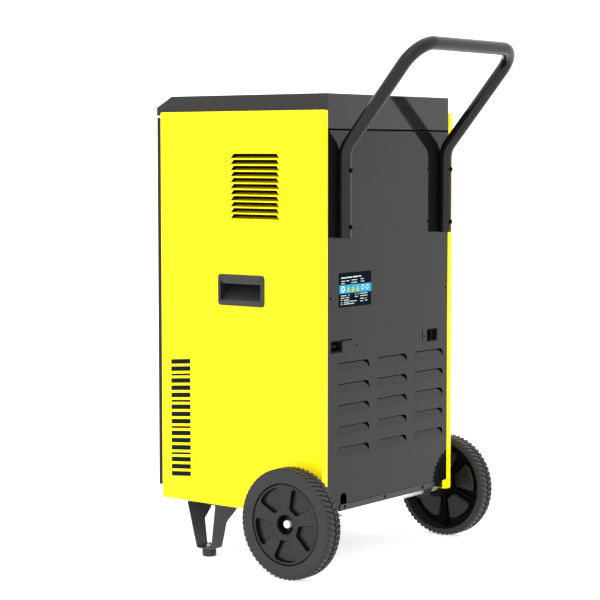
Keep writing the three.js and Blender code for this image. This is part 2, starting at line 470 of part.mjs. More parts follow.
// ---------------------------------------------------------------- axle, wheels and tyres
const SPOKES = 5;
function wheelRim(turn) {
  // profile: hub drawn out towards the case, thin front disc, and a flange behind the tyre's wall
  const hubIn = 215.2;
  let w = lathe('X', [
    [7.9, hubIn], [20, hubIn], [21, 256], [26, 261.5], [85.8, 261.5], [85.8, WHEEL_X1 - 9.2], [DISC_R, WHEEL_X1 - 9.2],
    [DISC_R, 270.5], [DISC_R - 1.6, 272.4], [18.5, 272.4], [17.5, 258], [7.9, 258], [7.9, hubIn]], [0, 0, 0], 30);
  const at = (r, deg) => [r * Math.cos((deg * Math.PI) / 180), r * Math.sin((deg * Math.PI) / 180)];
  for (let i = 0; i < SPOKES; i++) {
    // a bowl sunk into the disc, standing out behind it
    const mid = -90 + turn + i * 72;
    const bowl = (grow) => [at(31 - grow, mid - 18 - grow * 0.9), at(66 + grow, mid - 23 - grow), at(69 + grow, mid - 17), at(69.6 + grow, mid), at(69 + grow, mid + 17), at(66 + grow, mid + 23 + grow), at(31 - grow, mid + 18 + grow * 0.9)];
    w = w.add(prism('X', bowl(3), 250, 262));
    w = w.subtract(prism('X', bowl(0), 256, 280));
  }
  return w;
}
const TYRE_N = 44;
const tyre = () => lathe('X', [
  [88.5, WHEEL_X0], [97, WHEEL_X0], [WHEEL_R, WHEEL_X0 + 6],
  [WHEEL_R, WHEEL_X1 - 6], [97, WHEEL_X1], [DISC_R + GAP, WHEEL_X1], [DISC_R + GAP, WHEEL_X1 - 9], [86.5, WHEEL_X1 - 9], [88.5, WHEEL_X1 - 12], [88.5, WHEEL_X0]], [0, 0, 0], TYRE_N, Math.PI / TYRE_N);
{
  const at = (m) => m.translate([0, WHEEL_Y, WHEEL_Z]);
  piece('wheel_rim_right', at(wheelRim(0)), BLACK());
  piece('wheel_rim_left', at(mirror(wheelRim(36))), BLACK());
  piece('tyre_right', at(tyre()), RUBBER());
  piece('tyre_left', at(mirror(tyre())), RUBBER());
  let axle = lathe('X', [[0, -268], [6, -268], [AXLE_R, -266.5], [AXLE_R, 266.5], [6, 268], [0, 268]], [0, WHEEL_Y, WHEEL_Z], 20);
  for (const x of [-262.5, 262.5]) axle = axle.subtract(rod('Z', 2, WHEEL_Z - 20, WHEEL_Z + 20, [x, WHEEL_Y, 0], 12));
  piece('axle', axle, STEEL());
  const pin = rod('Z', 1.6, WHEEL_Z - 13, WHEEL_Z + 13, [262.5, WHEEL_Y, 0], 10).add(rod('Z', 3, WHEEL_Z + 9.5, WHEEL_Z + 13, [262.5, WHEEL_Y, 0], 12));
  piece('split_pin_right', pin, STEEL());
  piece('split_pin_left', mirror(pin), STEEL());
  const bracket = prism('X', [[122, 112.7], [133, 96], [145, 87], [162, 87], [174, 96], [185, 112.7], [185, 114.7], [122, 114.7]], 166, 169)
    .add(box(154, 169, 122, 185, 112.7, 114.7)).subtract(rod('X', AXLE_R + GAP, 150, 180, [0, WHEEL_Y, WHEEL_Z], 20));
  piece('axle_bracket_right', bracket, FRAME());
  piece('axle_bracket_left', mirror(bracket), FRAME());
}

// ---------------------------------------------------------------- push handle
{
  const xr = HANDLE_X + HANDLE_HALF, xl = HANDLE_X - HANDLE_HALF;
  const path = rounded([[xr, LEG_Y, LEG_Z0], [xr, LEG_Y, BEND_Z], [xr, BAR_Y, BAR_Z], [xl, BAR_Y, BAR_Z], [xl, LEG_Y, BEND_Z], [xl, LEG_Y, LEG_Z0]],
    [BEND_R, CORNER_R, CORNER_R, BEND_R], [3, 5, 5, 3]);
  const bore = path.map((p) => p.clone());
  bore[0].z -= 3; bore[bore.length - 1].z -= 3;
  let tube = sweep(path, TUBE_R, 12).subtract(sweep(bore, TUBE_R - TUBE_WALL, 8));
  for (const x of [xr, xl]) for (const z of SCREW_Z) tube = tube.subtract(rod('Y', 3.3, 185, 225, [x, 0, z], 10));
  piece('push_handle', tube, FRAME());
  const names = ['handle_screw_right_lower', 'handle_screw_right_upper', 'handle_screw_left_lower', 'handle_screw_left_upper'];
  [xr, xl].forEach((x, i) => SCREW_Z.forEach((z, j) => {
    const y = LEG_Y + TUBE_R;
    piece(names[i * 2 + j], lathe('Y', [[0, 186], [3, 186], [3, y + GAP], [4.6, y + GAP], [4.6, y + 1.4], [3, y + 2.6], [0, y + 2.8]], [x, 0, z], 10), STEEL());
  }));
}

export default machine;
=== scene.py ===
# Upright wheeled dehumidifier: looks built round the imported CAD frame.
# Outlines below are in millimetres in the case's own frame (Y = 0 at the middle of the case); P() turns them into the row frame.
import math

import bmesh
import bpy
from mathutils import Matrix, Vector
from mathutils.geometry import tessellate_polygon


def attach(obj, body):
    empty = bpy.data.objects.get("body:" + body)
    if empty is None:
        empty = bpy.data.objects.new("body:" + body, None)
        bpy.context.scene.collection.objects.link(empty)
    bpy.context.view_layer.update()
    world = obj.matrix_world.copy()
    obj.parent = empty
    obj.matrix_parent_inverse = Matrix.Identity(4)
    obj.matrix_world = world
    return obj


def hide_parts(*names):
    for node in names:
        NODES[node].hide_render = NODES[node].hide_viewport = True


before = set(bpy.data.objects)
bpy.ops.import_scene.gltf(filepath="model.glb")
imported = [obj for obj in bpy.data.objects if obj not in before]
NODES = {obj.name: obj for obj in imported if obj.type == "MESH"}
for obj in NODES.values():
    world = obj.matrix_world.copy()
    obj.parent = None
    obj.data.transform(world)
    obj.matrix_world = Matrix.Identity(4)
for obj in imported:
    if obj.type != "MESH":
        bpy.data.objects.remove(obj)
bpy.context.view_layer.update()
CY = 79.2
PI = math.pi


def P(v):
    return Vector((v[0] / 1000.0, (v[1] - CY) / 1000.0, v[2] / 1000.0))


# ------------------------------------------------------------------ materials
def _mat(name):
    m = bpy.data.materials.new(name)
    m.use_nodes = True
    nt = m.node_tree
    bsdf = next(n for n in nt.nodes if n.type == "BSDF_PRINCIPLED")
    return m, nt, bsdf


def surface(name, base, rough=0.4, metal=0.0, ior=1.5, coat=0.0, coat_rough=0.03, mottle=0.04, mottle_scale=9.0,
            rough_var=0.05, rough_scale=30.0, bump=0.05, bump_scale=900.0, bump_dist=0.0002, stretch=(1, 1, 1), alpha=1.0,
            transmission=0.0, sheen=0.0, detail=3.0, second=None):
    """A procedural finish: two scales of colour mottle, a roughness variation and a fine bump, in object space."""
    m, nt, b = _mat(name)
    N, L = nt.nodes, nt.links
    tc = N.new("ShaderNodeTexCoord")
    mp = N.new("ShaderNodeMapping")
    mp.inputs["Scale"].default_value = stretch
    L.new(tc.outputs["Object"], mp.inputs["Vector"])
    n1 = N.new("ShaderNodeTexNoise")
    n1.inputs["Scale"].default_value = mottle_scale
    n1.inputs["Detail"].default_value = detail
    L.new(mp.outputs[0], n1.inputs["Vector"])
    ramp = N.new("ShaderNodeMix")
    ramp.data_type = "RGBA"
    lo = [max(c * (1 - mottle), 0) for c in base]
    hi = [min(c * (1 + mottle), 1) for c in (second or base)]
    ramp.inputs[6].default_value = (*lo, 1)
    ramp.inputs[7].default_value = (*hi, 1)
    L.new(n1.outputs[0], ramp.inputs[0])
    L.new(ramp.outputs[2], b.inputs["Base Color"])
    n2 = N.new("ShaderNodeTexNoise")
    n2.inputs["Scale"].default_value = rough_scale
    n2.inputs["Detail"].default_value = 2.0
    L.new(mp.outputs[0], n2.inputs["Vector"])
    mr = N.new("ShaderNodeMapRange")
    mr.inputs[1].default_value, mr.inputs[2].default_value = 0.3, 0.7
    mr.inputs[3].default_value = max(rough - rough_var, 0.01)
    mr.inputs[4].default_value = min(rough + rough_var, 1)
    L.new(n2.outputs[0], mr.inputs[0])
    L.new(mr.outputs[0], b.inputs["Roughness"])
    b.inputs["Metallic"].default_value = metal
    b.inputs["IOR"].default_value = ior
    b.inputs["Coat Weight"].default_value = coat
    b.inputs["Coat Roughness"].default_value = coat_rough
    b.inputs["Sheen Weight"].default_value = sheen
    b.inputs["Alpha"].default_value = alpha
    b.inputs["Transmission Weight"].default_value = transmission
    if bump:
        n3 = N.new("ShaderNodeTexNoise")
        n3.inputs["Scale"].default_value = bump_scale
        n3.inputs["Detail"].default_value = 2.0
        L.new(mp.outputs[0], n3.inputs["Vector"])
        bp = N.new("ShaderNodeBump")
        bp.inputs["Strength"].default_value = bump
        bp.inputs["Distance"].default_value = bump_dist
        L.new(n3.outputs[0], bp.inputs["Height"])
        L.new(bp.outputs[0], b.inputs["Normal"])
    return m


def waved(name, base, other, scale, axis="Z", rough=0.4, metal=0.0, width=0.5, bump=0.4, dist=0.0006, mottle=0.05, ior=1.5, checker=None):
    """A finish with regular lines, such as fins or mesh: lines across `axis`, crossed with `checker` axis lines when given."""
    m, nt, b = _mat(name)
    N, L = nt.nodes, nt.links
    tc = N.new("ShaderNodeTexCoord")
    w = N.new("ShaderNodeTexWave")
    w.wave_type, w.bands_direction, w.wave_profile = "BANDS", axis, "SIN"
    w.inputs["Scale"].default_value = scale
    w.inputs["Distortion"].default_value = 0.0
    L.new(tc.outputs["Object"], w.inputs["Vector"])
    height = w.outputs["Fac"]
    if checker:
        w2 = N.new("ShaderNodeTexWave")
        w2.wave_type, w2.bands_direction, w2.wave_profile = "BANDS", checker, "SIN"
        w2.inputs["Scale"].default_value = scale
        L.new(tc.outputs["Object"], w2.inputs["Vector"])
        mx = N.new("ShaderNodeMath")
        mx.operation = "MAXIMUM"
        L.new(w.outputs["Fac"], mx.inputs[0])
        L.new(w2.outputs["Fac"], mx.inputs[1])
        height = mx.outputs[0]
    no = N.new("ShaderNodeTexNoise")
    no.inputs["Scale"].default_value = 25.0
    L.new(tc.outputs["Object"], no.inputs["Vector"])
    st = N.new("ShaderNodeMapRange")
    st.inputs[1].default_value, st.inputs[2].default_value = max(width - 0.2, 0), min(width + 0.2, 1)
    L.new(height, st.inputs[0])
    mix = N.new("ShaderNodeMix")
    mix.data_type = "RGBA"
    mix.inputs[6].default_value = (*other, 1)
    mix.inputs[7].default_value = (*base, 1)
    L.new(st.outputs[0], mix.inputs[0])
    dirt = N.new("ShaderNodeMix")
    dirt.data_type = "RGBA"
    dirt.blend_type = "MULTIPLY"
    dirt.inputs[7].default_value = (1 - mottle * 2, 1 - mottle * 2, 1 - mottle * 2, 1)
    L.new(mix.outputs[2], dirt.inputs[6])
    L.new(no.outputs[0], dirt.inputs[0])
    L.new(dirt.outputs[2], b.inputs["Base Color"])
    mr = N.new("ShaderNodeMapRange")
    mr.inputs[3].default_value, mr.inputs[4].default_value = max(rough - 0.06, 0.02), min(rough + 0.06, 1)
    L.new(no.outputs[0], mr.inputs[0])
    L.new(mr.outputs[0], b.inputs["Roughness"])
    b.inputs["Metallic"].default_value = metal
    b.inputs["IOR"].default_value = ior
    bp = N.new("ShaderNodeBump")
    bp.inputs["Strength"].default_value = bump
    bp.inputs["Distance"].default_value = dist
    L.new(height, bp.inputs["Height"])
    L.new(bp.outputs[0], b.inputs["Normal"])
    return m


YELLOW = surface("yellow_powder_coat", (0.95, 0.78, 0.0046), rough=0.26, ior=1.24, mottle=0.012, mottle_scale=5, rough_var=0.04, bump=0.035, bump_scale=1100)
# The tabs are the same yellow sheet; their darker brownish yellow is painted shade inside the slots.
YELLOW_TAB_SHADE = surface("yellow_tab_painted_shade", (0.30, 0.215, 0.003), rough=0.45, ior=1.2, mottle=0.05, mottle_scale=14, bump=0.05, bump_scale=1100)
# Near-black sheet for the baffles, the strip behind the hood seam and the side panels' inner faces: painted shade
# inside the case.
SHADE_LINING = surface("near_black_shade_lining", (0.006, 0.006, 0.0065), rough=0.95, ior=1.02, mottle=0.3, mottle_scale=90, bump=0.5, bump_scale=700, bump_dist=0.0004)
DARK = surface("dark_gloss_paint", (0.0058, 0.0059, 0.0062), rough=0.05, ior=1.325, mottle=0.05, mottle_scale=4, rough_var=0.012, rough_scale=8, bump=0.010, bump_scale=420)
HOODP = surface("hood_gloss_paint", (0.0128, 0.0124, 0.0120), rough=0.075, ior=1.365, mottle=0.06, mottle_scale=5, rough_var=0.015, rough_scale=8, bump=0.014, bump_scale=420)
# A lighter copy of the frame paint for the foot brackets: painted light on faces that catch the bright surroundings.
FOOT_LIT_PAINT = surface("foot_paint_painted_light", (0.036, 0.0365, 0.038), rough=0.22, ior=1.40, mottle=0.07, mottle_scale=16, rough_var=0.05, bump=0.06, bump_scale=1300)
FRAMEP = surface("frame_satin_paint", (0.012, 0.012, 0.0125), rough=0.22, ior=1.40, mottle=0.07, mottle_scale=16, rough_var=0.05, bump=0.06, bump_scale=1300)
TUBEP = surface("tube_satin_paint", (0.0030, 0.0031, 0.0033), rough=0.22, ior=1.34, mottle=0.07, mottle_scale=16, rough_var=0.05, bump=0.05, bump_scale=1500)
PLASTIC = surface("black_moulded_plastic", (0.014, 0.014, 0.0145), rough=0.36, ior=1.38, mottle=0.06, mottle_scale=22, rough_var=0.05, bump=0.16, bump_scale=2600, bump_dist=0.0001)
CUPP = surface("carry_cup_plastic", (0.021, 0.021, 0.0215), rough=0.36, ior=1.38, mottle=0.05, mottle_scale=22, rough_var=0.05, bump=0.16, bump_scale=2600, bump_dist=0.0001)
WHEELP = surface("wheel_moulded_plastic", (0.0120, 0.0122, 0.0127), rough=0.30, ior=1.34, mottle=0.05, mottle_scale=22, rough_var=0.05, bump=0.12, bump_scale=2400, bump_dist=0.0001)
# A lighter copy of the wheel plastic for the bowl floors: painted light.
BOWL_LIGHT_PLASTIC = surface("wheel_bowl_painted_light", (0.0215, 0.0222, 0.0218), rough=0.34, ior=1.36, mottle=0.05, mottle_scale=22, bump=0.12, bump_scale=2400, bump_dist=0.0001)
# A darker copy of the wheel plastic for the bowl and hub walls, the flange, the hub sleeve and the ribs: painted shade.
RIM_SHADE_PLASTIC = surface("wheel_back_painted_shade", (0.0035, 0.0035, 0.0038), rough=0.55, ior=1.15, mottle=0.06, mottle_scale=22, bump=0.12, bump_scale=2400, bump_dist=0.0001)
TYREP = surface("tyre_rubber", (0.0195, 0.0197, 0.0202), rough=0.50, ior=1.34, mottle=0.09, mottle_scale=40, rough_var=0.07, bump=0.2, bump_scale=1800, bump_dist=0.00012)
FOOTR = surface("foot_rubber", (0.024, 0.024, 0.025), rough=0.6, ior=1.38, mottle=0.2, mottle_scale=60, rough_var=0.08, bump=0.4, bump_scale=1500, bump_dist=0.00015)
BLACKHOLE = surface("deep_black_plastic", (0.006, 0.006, 0.0065), rough=0.6, ior=1.12, mottle=0.1, mottle_scale=30, bump=0.1, bump_scale=1800)
SCREWM = surface("blackened_screw_steel", (0.0012, 0.0012, 0.0013), rough=0.5, ior=1.10, mottle=0.2, mottle_scale=200, bump=0.2, bump_scale=3000, bump_dist=0.00005)
BRIGHT = surface("bright_plated_steel", (0.90, 0.90, 0.91), rough=0.34, metal=0.7, mottle=0.03, mottle_scale=60, rough_var=0.04, bump=0.04, bump_scale=400, stretch=(1, 14, 14), bump_dist=0.00005)
AXLEEND = surface("turned_axle_end", (0.86, 0.86, 0.87), rough=0.35, ior=1.5, metal=0.25, mottle=0.04, mottle_scale=60, bump=0.06, bump_scale=1500)
SPRINGS = surface("pin_spring_steel", (0.035, 0.035, 0.037), rough=0.35, metal=0.6, mottle=0.05, mottle_scale=90, bump=0.08, bump_scale=1400, bump_dist=0.00005)
BOLTZ = surface("zinc_bolt_steel", (0.30, 0.31, 0.33), rough=0.3, metal=1.0, mottle=0.08, mottle_scale=120, rough_var=0.08, bump=0.1, bump_scale=1800, bump_dist=0.00005)
GALV = surface("galvanised_sheet", (0.34, 0.355, 0.37), rough=0.38, metal=1.0, mottle=0.14, mottle_scale=70, rough_var=0.12, rough_scale=70, bump=0.05, bump_scale=120, detail=5)
COPPER = surface("drawn_copper", (0.60, 0.30, 0.19), rough=0.26, metal=1.0, mottle=0.12, mottle_scale=35, rough_var=0.08, bump=0.06, bump_scale=600)
ENAMEL = surface("black_enamel", (0.008, 0.008, 0.009), rough=0.22, ior=1.42, mottle=0.08, mottle_scale=12, bump=0.08, bump_scale=500)
MOTORM = surface("motor_casting", (0.07, 0.073, 0.077), rough=0.45, metal=0.6, mottle=0.12, mottle_scale=50, bump=0.25, bump_scale=1200)
WHITEP = surface("natural_plastic", (0.44, 0.455, 0.47), rough=0.34, ior=1.44, mottle=0.03, mottle_scale=12, rough_var=0.05, bump=0.06, bump_scale=1200)
FLOATM = surface("float_foam", (0.48, 0.47, 0.44), rough=0.65, ior=1.4, mottle=0.06, mottle_scale=90, bump=0.35, bump_scale=1400, bump_dist=0.0002)
WINDOW = surface("level_window_clear", (0.50, 0.66, 0.72), rough=0.08, ior=1.45, mottle=0.05, mottle_scale=15, rough_var=0.03, bump=0.03, bump_scale=300, transmission=0.75)
DISPLAY = surface("display_smoked", (0.004, 0.008, 0.010), rough=0.06, ior=1.42, mottle=0.2, mottle_scale=30, rough_var=0.02, bump=0.02, bump_scale=300)
SEGMENT = surface("display_segments", (0.06, 0.26, 0.25), rough=0.3, mottle=0.1, mottle_scale=200, bump=0.05)
BOARD = surface("circuit_board", (0.014, 0.09, 0.04), rough=0.4, mottle=0.3, mottle_scale=90, bump=0.3, bump_scale=500, second=(0.03, 0.14, 0.06))
KEY = surface("soft_key", (0.09, 0.093, 0.097), rough=0.5, ior=1.4, mottle=0.05, mottle_scale=60, bump=0.18, bump_scale=2400, bump_dist=0.0001)
RED = surface("rocker_red", (0.27, 0.010, 0.008), rough=0.25, ior=1.4, mottle=0.05, mottle_scale=50, bump=0.05, bump_scale=1400)
MARKW = surface("printed_white", (0.60, 0.62, 0.62), rough=0.45, ior=1.3, mottle=0.05, mottle_scale=300, bump=0.03)
NAVY = surface("printed_navy", (0.0004, 0.0045, 0.0085), rough=0.3, ior=1.16, mottle=0.10, mottle_scale=40, bump=0.03, bump_scale=900)
LABELN = surface("label_navy", (0.0006, 0.0048, 0.0090), rough=0.4, ior=1.06, mottle=0.2, mottle_scale=70, bump=0.03)
CYAN = surface("label_cyan", (0.012, 0.25, 0.43), rough=0.4, ior=1.12, mottle=0.12, mottle_scale=60, bump=0.03, second=(0.025, 0.30, 0.48))
LIME = surface("label_yellow", (0.37, 0.40, 0.025), rough=0.4, ior=1.12, mottle=0.08, mottle_scale=120, bump=0.03)
# Fin finish: bright fin edges with near-black bands between them, painted shade in the gaps between the fins.
FINS_GAP_SHADE = waved("aluminium_fins_painted_gap_shade", (0.40, 0.415, 0.43), (0.06, 0.06, 0.066), 180.0, "X", rough=0.35, metal=1.0, width=0.55, bump=0.6)
MESHM = waved("filter_mesh", (0.04, 0.043, 0.046), (0.18, 0.19, 0.20), 110.0, "X", rough=0.8, width=0.75, bump=0.8, checker="Z")


# ------------------------------------------------------------------ outline helpers
def rrect(a0, a1, b0, b1, r, n=6):
    out = []
    for cx, cy, s in ((a1 - r, b0 + r, -90), (a1 - r, b1 - r, 0), (a0 + r, b1 - r, 90), (a0 + r, b0 + r, 180)):
        for k in range(n + 1):
            t = math.radians(s + 90.0 * k / n)
            out.append((cx + r * math.cos(t), cy + r * math.sin(t)))
    return out


def ring(cx, cy, r, n=32, phase=0.0):
    return [(cx + r * math.cos(phase + 2 * PI * k / n), cy + r * math.sin(phase + 2 * PI * k / n)) for k in range(n)]


def fillet(poly, r, n=4):
    """Rounds the corners of a polygon; r is one radius or one per corner."""
    out, m = [], len(poly)
    for i in range(m):
        p = Vector(poly[i])
        a, b = Vector(poly[i - 1]) - p, Vector(poly[(i + 1) % m]) - p
        rr = r[i] if isinstance(r, (list, tuple)) else r
        la, lb = a.length, b.length
        a.normalize(); b.normalize()
        half = math.acos(max(-1, min(1, a.dot(b)))) / 2
        if rr <= 0 or half > PI / 2 - 0.02:
            out.append(tuple(p)); continue
        t = min(rr / math.tan(half), la * 0.49, lb * 0.49)
        rr = t * math.tan(half)
        c = p + (a + b).normalized() * (rr / math.sin(half))
        v0, v1 = p + a * t - c, p + b * t - c
        a0 = math.atan2(v0.y, v0.x); d = math.atan2(v1.y, v1.x) - a0
        d = (d + PI) % (2 * PI) - PI
        for k in range(n + 1):
            out.append((c.x + rr * math.cos(a0 + d * k / n), c.y + rr * math.sin(a0 + d * k / n)))
    return out


def area(loop):
    return sum(a[0] * b[1] - b[0] * a[1] for a, b in zip(loop, loop[1:] + loop[:1])) / 2


def inset(loop, d):
    """Every point of a counter-clockwise loop moved inwards by d."""
    if abs(d) < 1e-9:
        return list(loop)
    out, m = [], len(loop)
    for i in range(m):
        p, q, s = Vector(loop[i - 1]), Vector(loop[i]), Vector(loop[(i + 1) % m])
        e1, e2 = (q - p), (s - q)
        if e1.length < 1e-9: e1 = e2.copy()
        if e2.length < 1e-9: e2 = e1.copy()
        e1.normalize(); e2.normalize()
        n1, n2 = Vector((-e1.y, e1.x)), Vector((-e2.y, e2.x))
        k = max(1 + n1.dot(n2), 0.25)
        v = (n1 + n2) / k
        out.append((q.x + v.x * d, q.y + v.y * d))
    return out


def quarter(r, w_top, n=4, sign=1):
    """Rings of a rounded edge: (inset, w) from the face at w_top round to the side."""
    return [(r * (1 - math.sin(PI / 2 * k / n)), w_top - sign * r * (1 - math.cos(PI / 2 * k / n))) for k in range(n + 1)]


# ------------------------------------------------------------------ mesh accumulator
class Part:
    def __init__(self, name):
        self.name, self.v, self.f, self.m = name, [], [], []

    def add(self, verts, faces, mat=0, xf=None):
        b = len(self.v)
        self.v += [Vector(xf(v)) if xf else Vector(v) for v in verts]
        self.f += [tuple(b + i for i in f) for f in faces]
        self.m += [mat] * len(faces)
        return self

    def relief(self, loops, xf, mat=0, hole_mat=None, back_mat=None):
        """A body described by loops in a plane and rings (inset, w) along each: loops[0] is the outline, the others are holes.
        Each entry is (loop, rings, end), end is 'cap' for a closed pocket or 'open' where the last ring lies on the back face."""
        base_v, faces, cap = [], [], []
        fronts, backs = [], []
        for li, (loop, rings, end) in enumerate(loops):
            if area(loop) < 0: loop = loop[::-1]
            s = 1 if li == 0 else -1
            ids = []
            for ins, w in rings:
                pts = inset(loop, s * ins)
                ids.append(range(len(base_v), len(base_v) + len(pts)))
                base_v += [(p[0], p[1], w) for p in pts]
            n = len(loop)
            for a, b in zip(ids, ids[1:]):
                for i in range(n):
                    q = (a[i], b[i], b[(i + 1) % n], a[(i + 1) % n])
                    (faces if (li == 0 or hole_mat is None) else cap).append(q if li == 0 else q[::-1])
            fronts.append(ids[0])
            if end == "open": backs.append(ids[-1])
            else:
                tris = tessellate_polygon([[Vector(base_v[i]) for i in ids[-1]]])
                (faces if hole_mat is None else cap).extend([tuple(ids[-1][k] for k in t) for t in tris])
        rear = []
        for group in (fronts, backs):
            if not group: continue
            flat = [i for g in group for i in g]
            tris = tessellate_polygon([[Vector((base_v[i][0], base_v[i][1], 0)) for i in g] for g in group])
            (rear if group is backs and back_mat is not None else faces).extend([tuple(flat[k] for k in t) for t in tris])
        b = len(self.v)
        self.v += [Vector(xf(v)) for v in base_v]
        self.f += [tuple(b + i for i in f) for f in faces + cap + rear]
        self.m += [mat] * len(faces) + [mat if hole_mat is None else hole_mat] * len(cap) + [back_mat or 0] * len(rear)
        return self

    def plate(self, outer, holes, w0, w1, xf, rf=0.4, rb=0.2, n=3, mat=0, rh=None):
        def rings(r_f, r_b):
            return quarter(r_f, w1, n) + [(i, w) for i, w in reversed(quarter(r_b, w0, n, -1))]
        return self.relief([(outer, rings(rf, rb), "open")] + [(h, rings(rf if rh is None else rh, rb if rh is None else rh), "open") for h in holes], xf, mat)

    def revolve(self, prof, axis, centre, n=48, mat=0, closed=False, phase=0.0):
        """Profile points are (radius, distance along axis). Points on the axis become poles."""
        ids, vs = [], []
        for r, h in prof:
            if r < 1e-6:
                ids.append([len(vs)]); vs.append((0, 0, h))
            else:
                ids.append(list(range(len(vs), len(vs) + n)))
                vs += [(r * math.cos(phase + 2 * PI * k / n), r * math.sin(phase + 2 * PI * k / n), h) for k in range(n)]
        fs, pairs = [], list(zip(ids, ids[1:])) + ([(ids[-1], ids[0])] if closed else [])
        for a, b in pairs:
            for i in range(n):
                j = (i + 1) % n
                if len(a) == 1 and len(b) == 1: continue
                if len(a) == 1: fs.append((a[0], b[j], b[i]))
                elif len(b) == 1: fs.append((a[i], a[j], b[0]))
                else: fs.append((a[i], a[j], b[j], b[i]))
        cx, cy, cz = centre
        turn = {"X": lambda v: (cx + v[2], cy + v[0], cz + v[1]), "Y": lambda v: (cx + v[1], cy + v[2], cz + v[0]), "Z": lambda v: (cx + v[0], cy + v[1], cz + v[2])}[axis]
        return self.add(vs, fs, mat, turn)

    def sweep(self, path, section, mat=0, closed=False, caps=True, up=None):
        """Section points (a, b) carried along a path with parallel transport."""
        pts = [Vector(p) for p in path]
        m = len(pts)
        tang = []
        for i in range(m):
            a = pts[(i - 1) % m] if (closed or i) else pts[0]
            b = pts[(i + 1) % m] if (closed or i < m - 1) else pts[-1]
            tang.append((b - a).normalized())
        ref = Vector(up) if up else (Vector((0, 0, 1)) if abs(tang[0].z) < 0.9 else Vector((1, 0, 0)))
        nrm = (ref - tang[0] * ref.dot(tang[0])).normalized()
        vs, k = [], len(section)
        for i in range(m):
            if i:
                nrm = (nrm - tang[i] * nrm.dot(tang[i])).normalized()
            bi = tang[i].cross(nrm)
            sc = 1.0
            vs += [pts[i] + nrm * a * sc + bi * b * sc for a, b in section]
        fs = []
        for i in range(m if closed else m - 1):
            for j in range(k):
                a, b = i * k, ((i + 1) % m) * k
                fs.append((a + j, a + (j + 1) % k, b + (j + 1) % k, b + j))
        if not closed and caps:
            fs.append(tuple(reversed(range(k))))
            fs.append(tuple(range((m - 1) * k, m * k)))
        return self.add(vs, fs, mat)

    def bar(self, x0, x1, y0, y1, z0, z1, r=0.5, mat=0, axis="X", xf=None, n=2):
        """A block with all its edges along one axis rounded, and its end faces rounded too."""
        if axis == "X":
            lp, w0, w1, t = rrect(y0, y1, z0, z1, r, 3), x0, x1, (lambda v: (v[2], v[0], v[1]))
        elif axis == "Y":
            lp, w0, w1, t = rrect(x0, x1, z0, z1, r, 3), y0, y1, (lambda v: (v[0], v[2], v[1]))
        else:
            lp, w0, w1, t = rrect(x0, x1, y0, y1, r, 3), z0, z1, (lambda v: (v[0], v[1], v[2]))
        tt = (lambda v: xf(t(v))) if xf else t
        return self.plate(lp, [], w0, w1, tt, rf=r * 0.7, rb=r * 0.7, n=n, mat=mat)

    def build(self, mats, body="root", replaces=(), slot=None, sharp=32, weighted=True, subsurf=0):
        me = bpy.data.meshes.new(self.name)
        me.from_pydata([P(v) for v in self.v], [], self.f)
        me.polygons.foreach_set("material_index", self.m)
        bm = bmesh.new(); bm.from_mesh(me)
        bmesh.ops.remove_doubles(bm, verts=bm.verts, dist=2e-6)
        bmesh.ops.dissolve_degenerate(bm, edges=bm.edges, dist=1e-7)
        bmesh.ops.recalc_face_normals(bm, faces=bm.faces)
        bm.to_mesh(me); bm.free()
        for m in mats: me.materials.append(m)
        me.shade_smooth()
        me.set_sharp_from_angle(angle=math.radians(sharp))
        me.update()
        ob = bpy.data.objects.new(self.name, me)
        bpy.context.scene.collection.objects.link(ob)
        if subsurf:
            s = ob.modifiers.new("sub", "SUBSURF"); s.levels = s.render_levels = subsurf
        if weighted:
            w = ob.modifiers.new("wn", "WEIGHTED_NORMAL"); w.keep_sharp = True; w.weight = 100; w.mode = "FACE_AREA"
        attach(ob, body)
        if replaces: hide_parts(*replaces)
        return ob


AX = lambda v: (v[2], v[0], v[1])        # outline (y, z), w along +X
MX = lambda v: (-v[2], v[0], v[1])       # the same, mirrored to -X
AY = lambda v: (v[0], v[2], v[1])        # outline (x, z), w along +Y
NY = lambda v: (v[0], -v[2], v[1])       # outline (x, z), w along -Y
AZ = lambda v: (v[0], v[1], v[2])


def paint(node, mat, bevel=0.0, sharp=30):
    """A carried-over CAD node: its finish, and a small rolled edge on it."""
    ob = NODES[node]
    if not ob.material_slots:
        ob.data.materials.append(mat)
    for s in ob.material_slots:
        s.material = mat
    if bevel:
        b = ob.modifiers.new("edge", "BEVEL")
        b.width, b.segments, b.limit_method, b.angle_limit = bevel / 1000.0, 2, "ANGLE", math.radians(sharp)
        b.use_clamp_overlap = True
        b.harden_normals = False
    w = ob.modifiers.new("wn", "WEIGHTED_NORMAL"); w.keep_sharp = True; w.weight = 80
    return ob


# ------------------------------------------------------------------ side panels
SIDE_X, SY0, SY1, Z0, Z1 = 213.0, -197.6, 194.3, 105.3, 851.9


def side_outline():
    base = rrect(SY0, SY1, Z0, Z1, 2.6, 6)
    # a half-round notch over the axle in the lower edge (the loop's first point is the lower +Y corner's start)
    R, cz, cy = 8.6, 102.5, 153.5
    dy = math.sqrt(R * R - (Z0 - cz) ** 2)
    a0 = math.atan2(Z0 - cz, -dy); a1 = math.atan2(Z0 - cz, dy)
    notch = [(cy + R * math.cos(a0 + (a1 - a0) * k / 10), cz + R * math.sin(a0 + (a1 - a0) * k / 10)) for k in range(11)]
    return notch + base


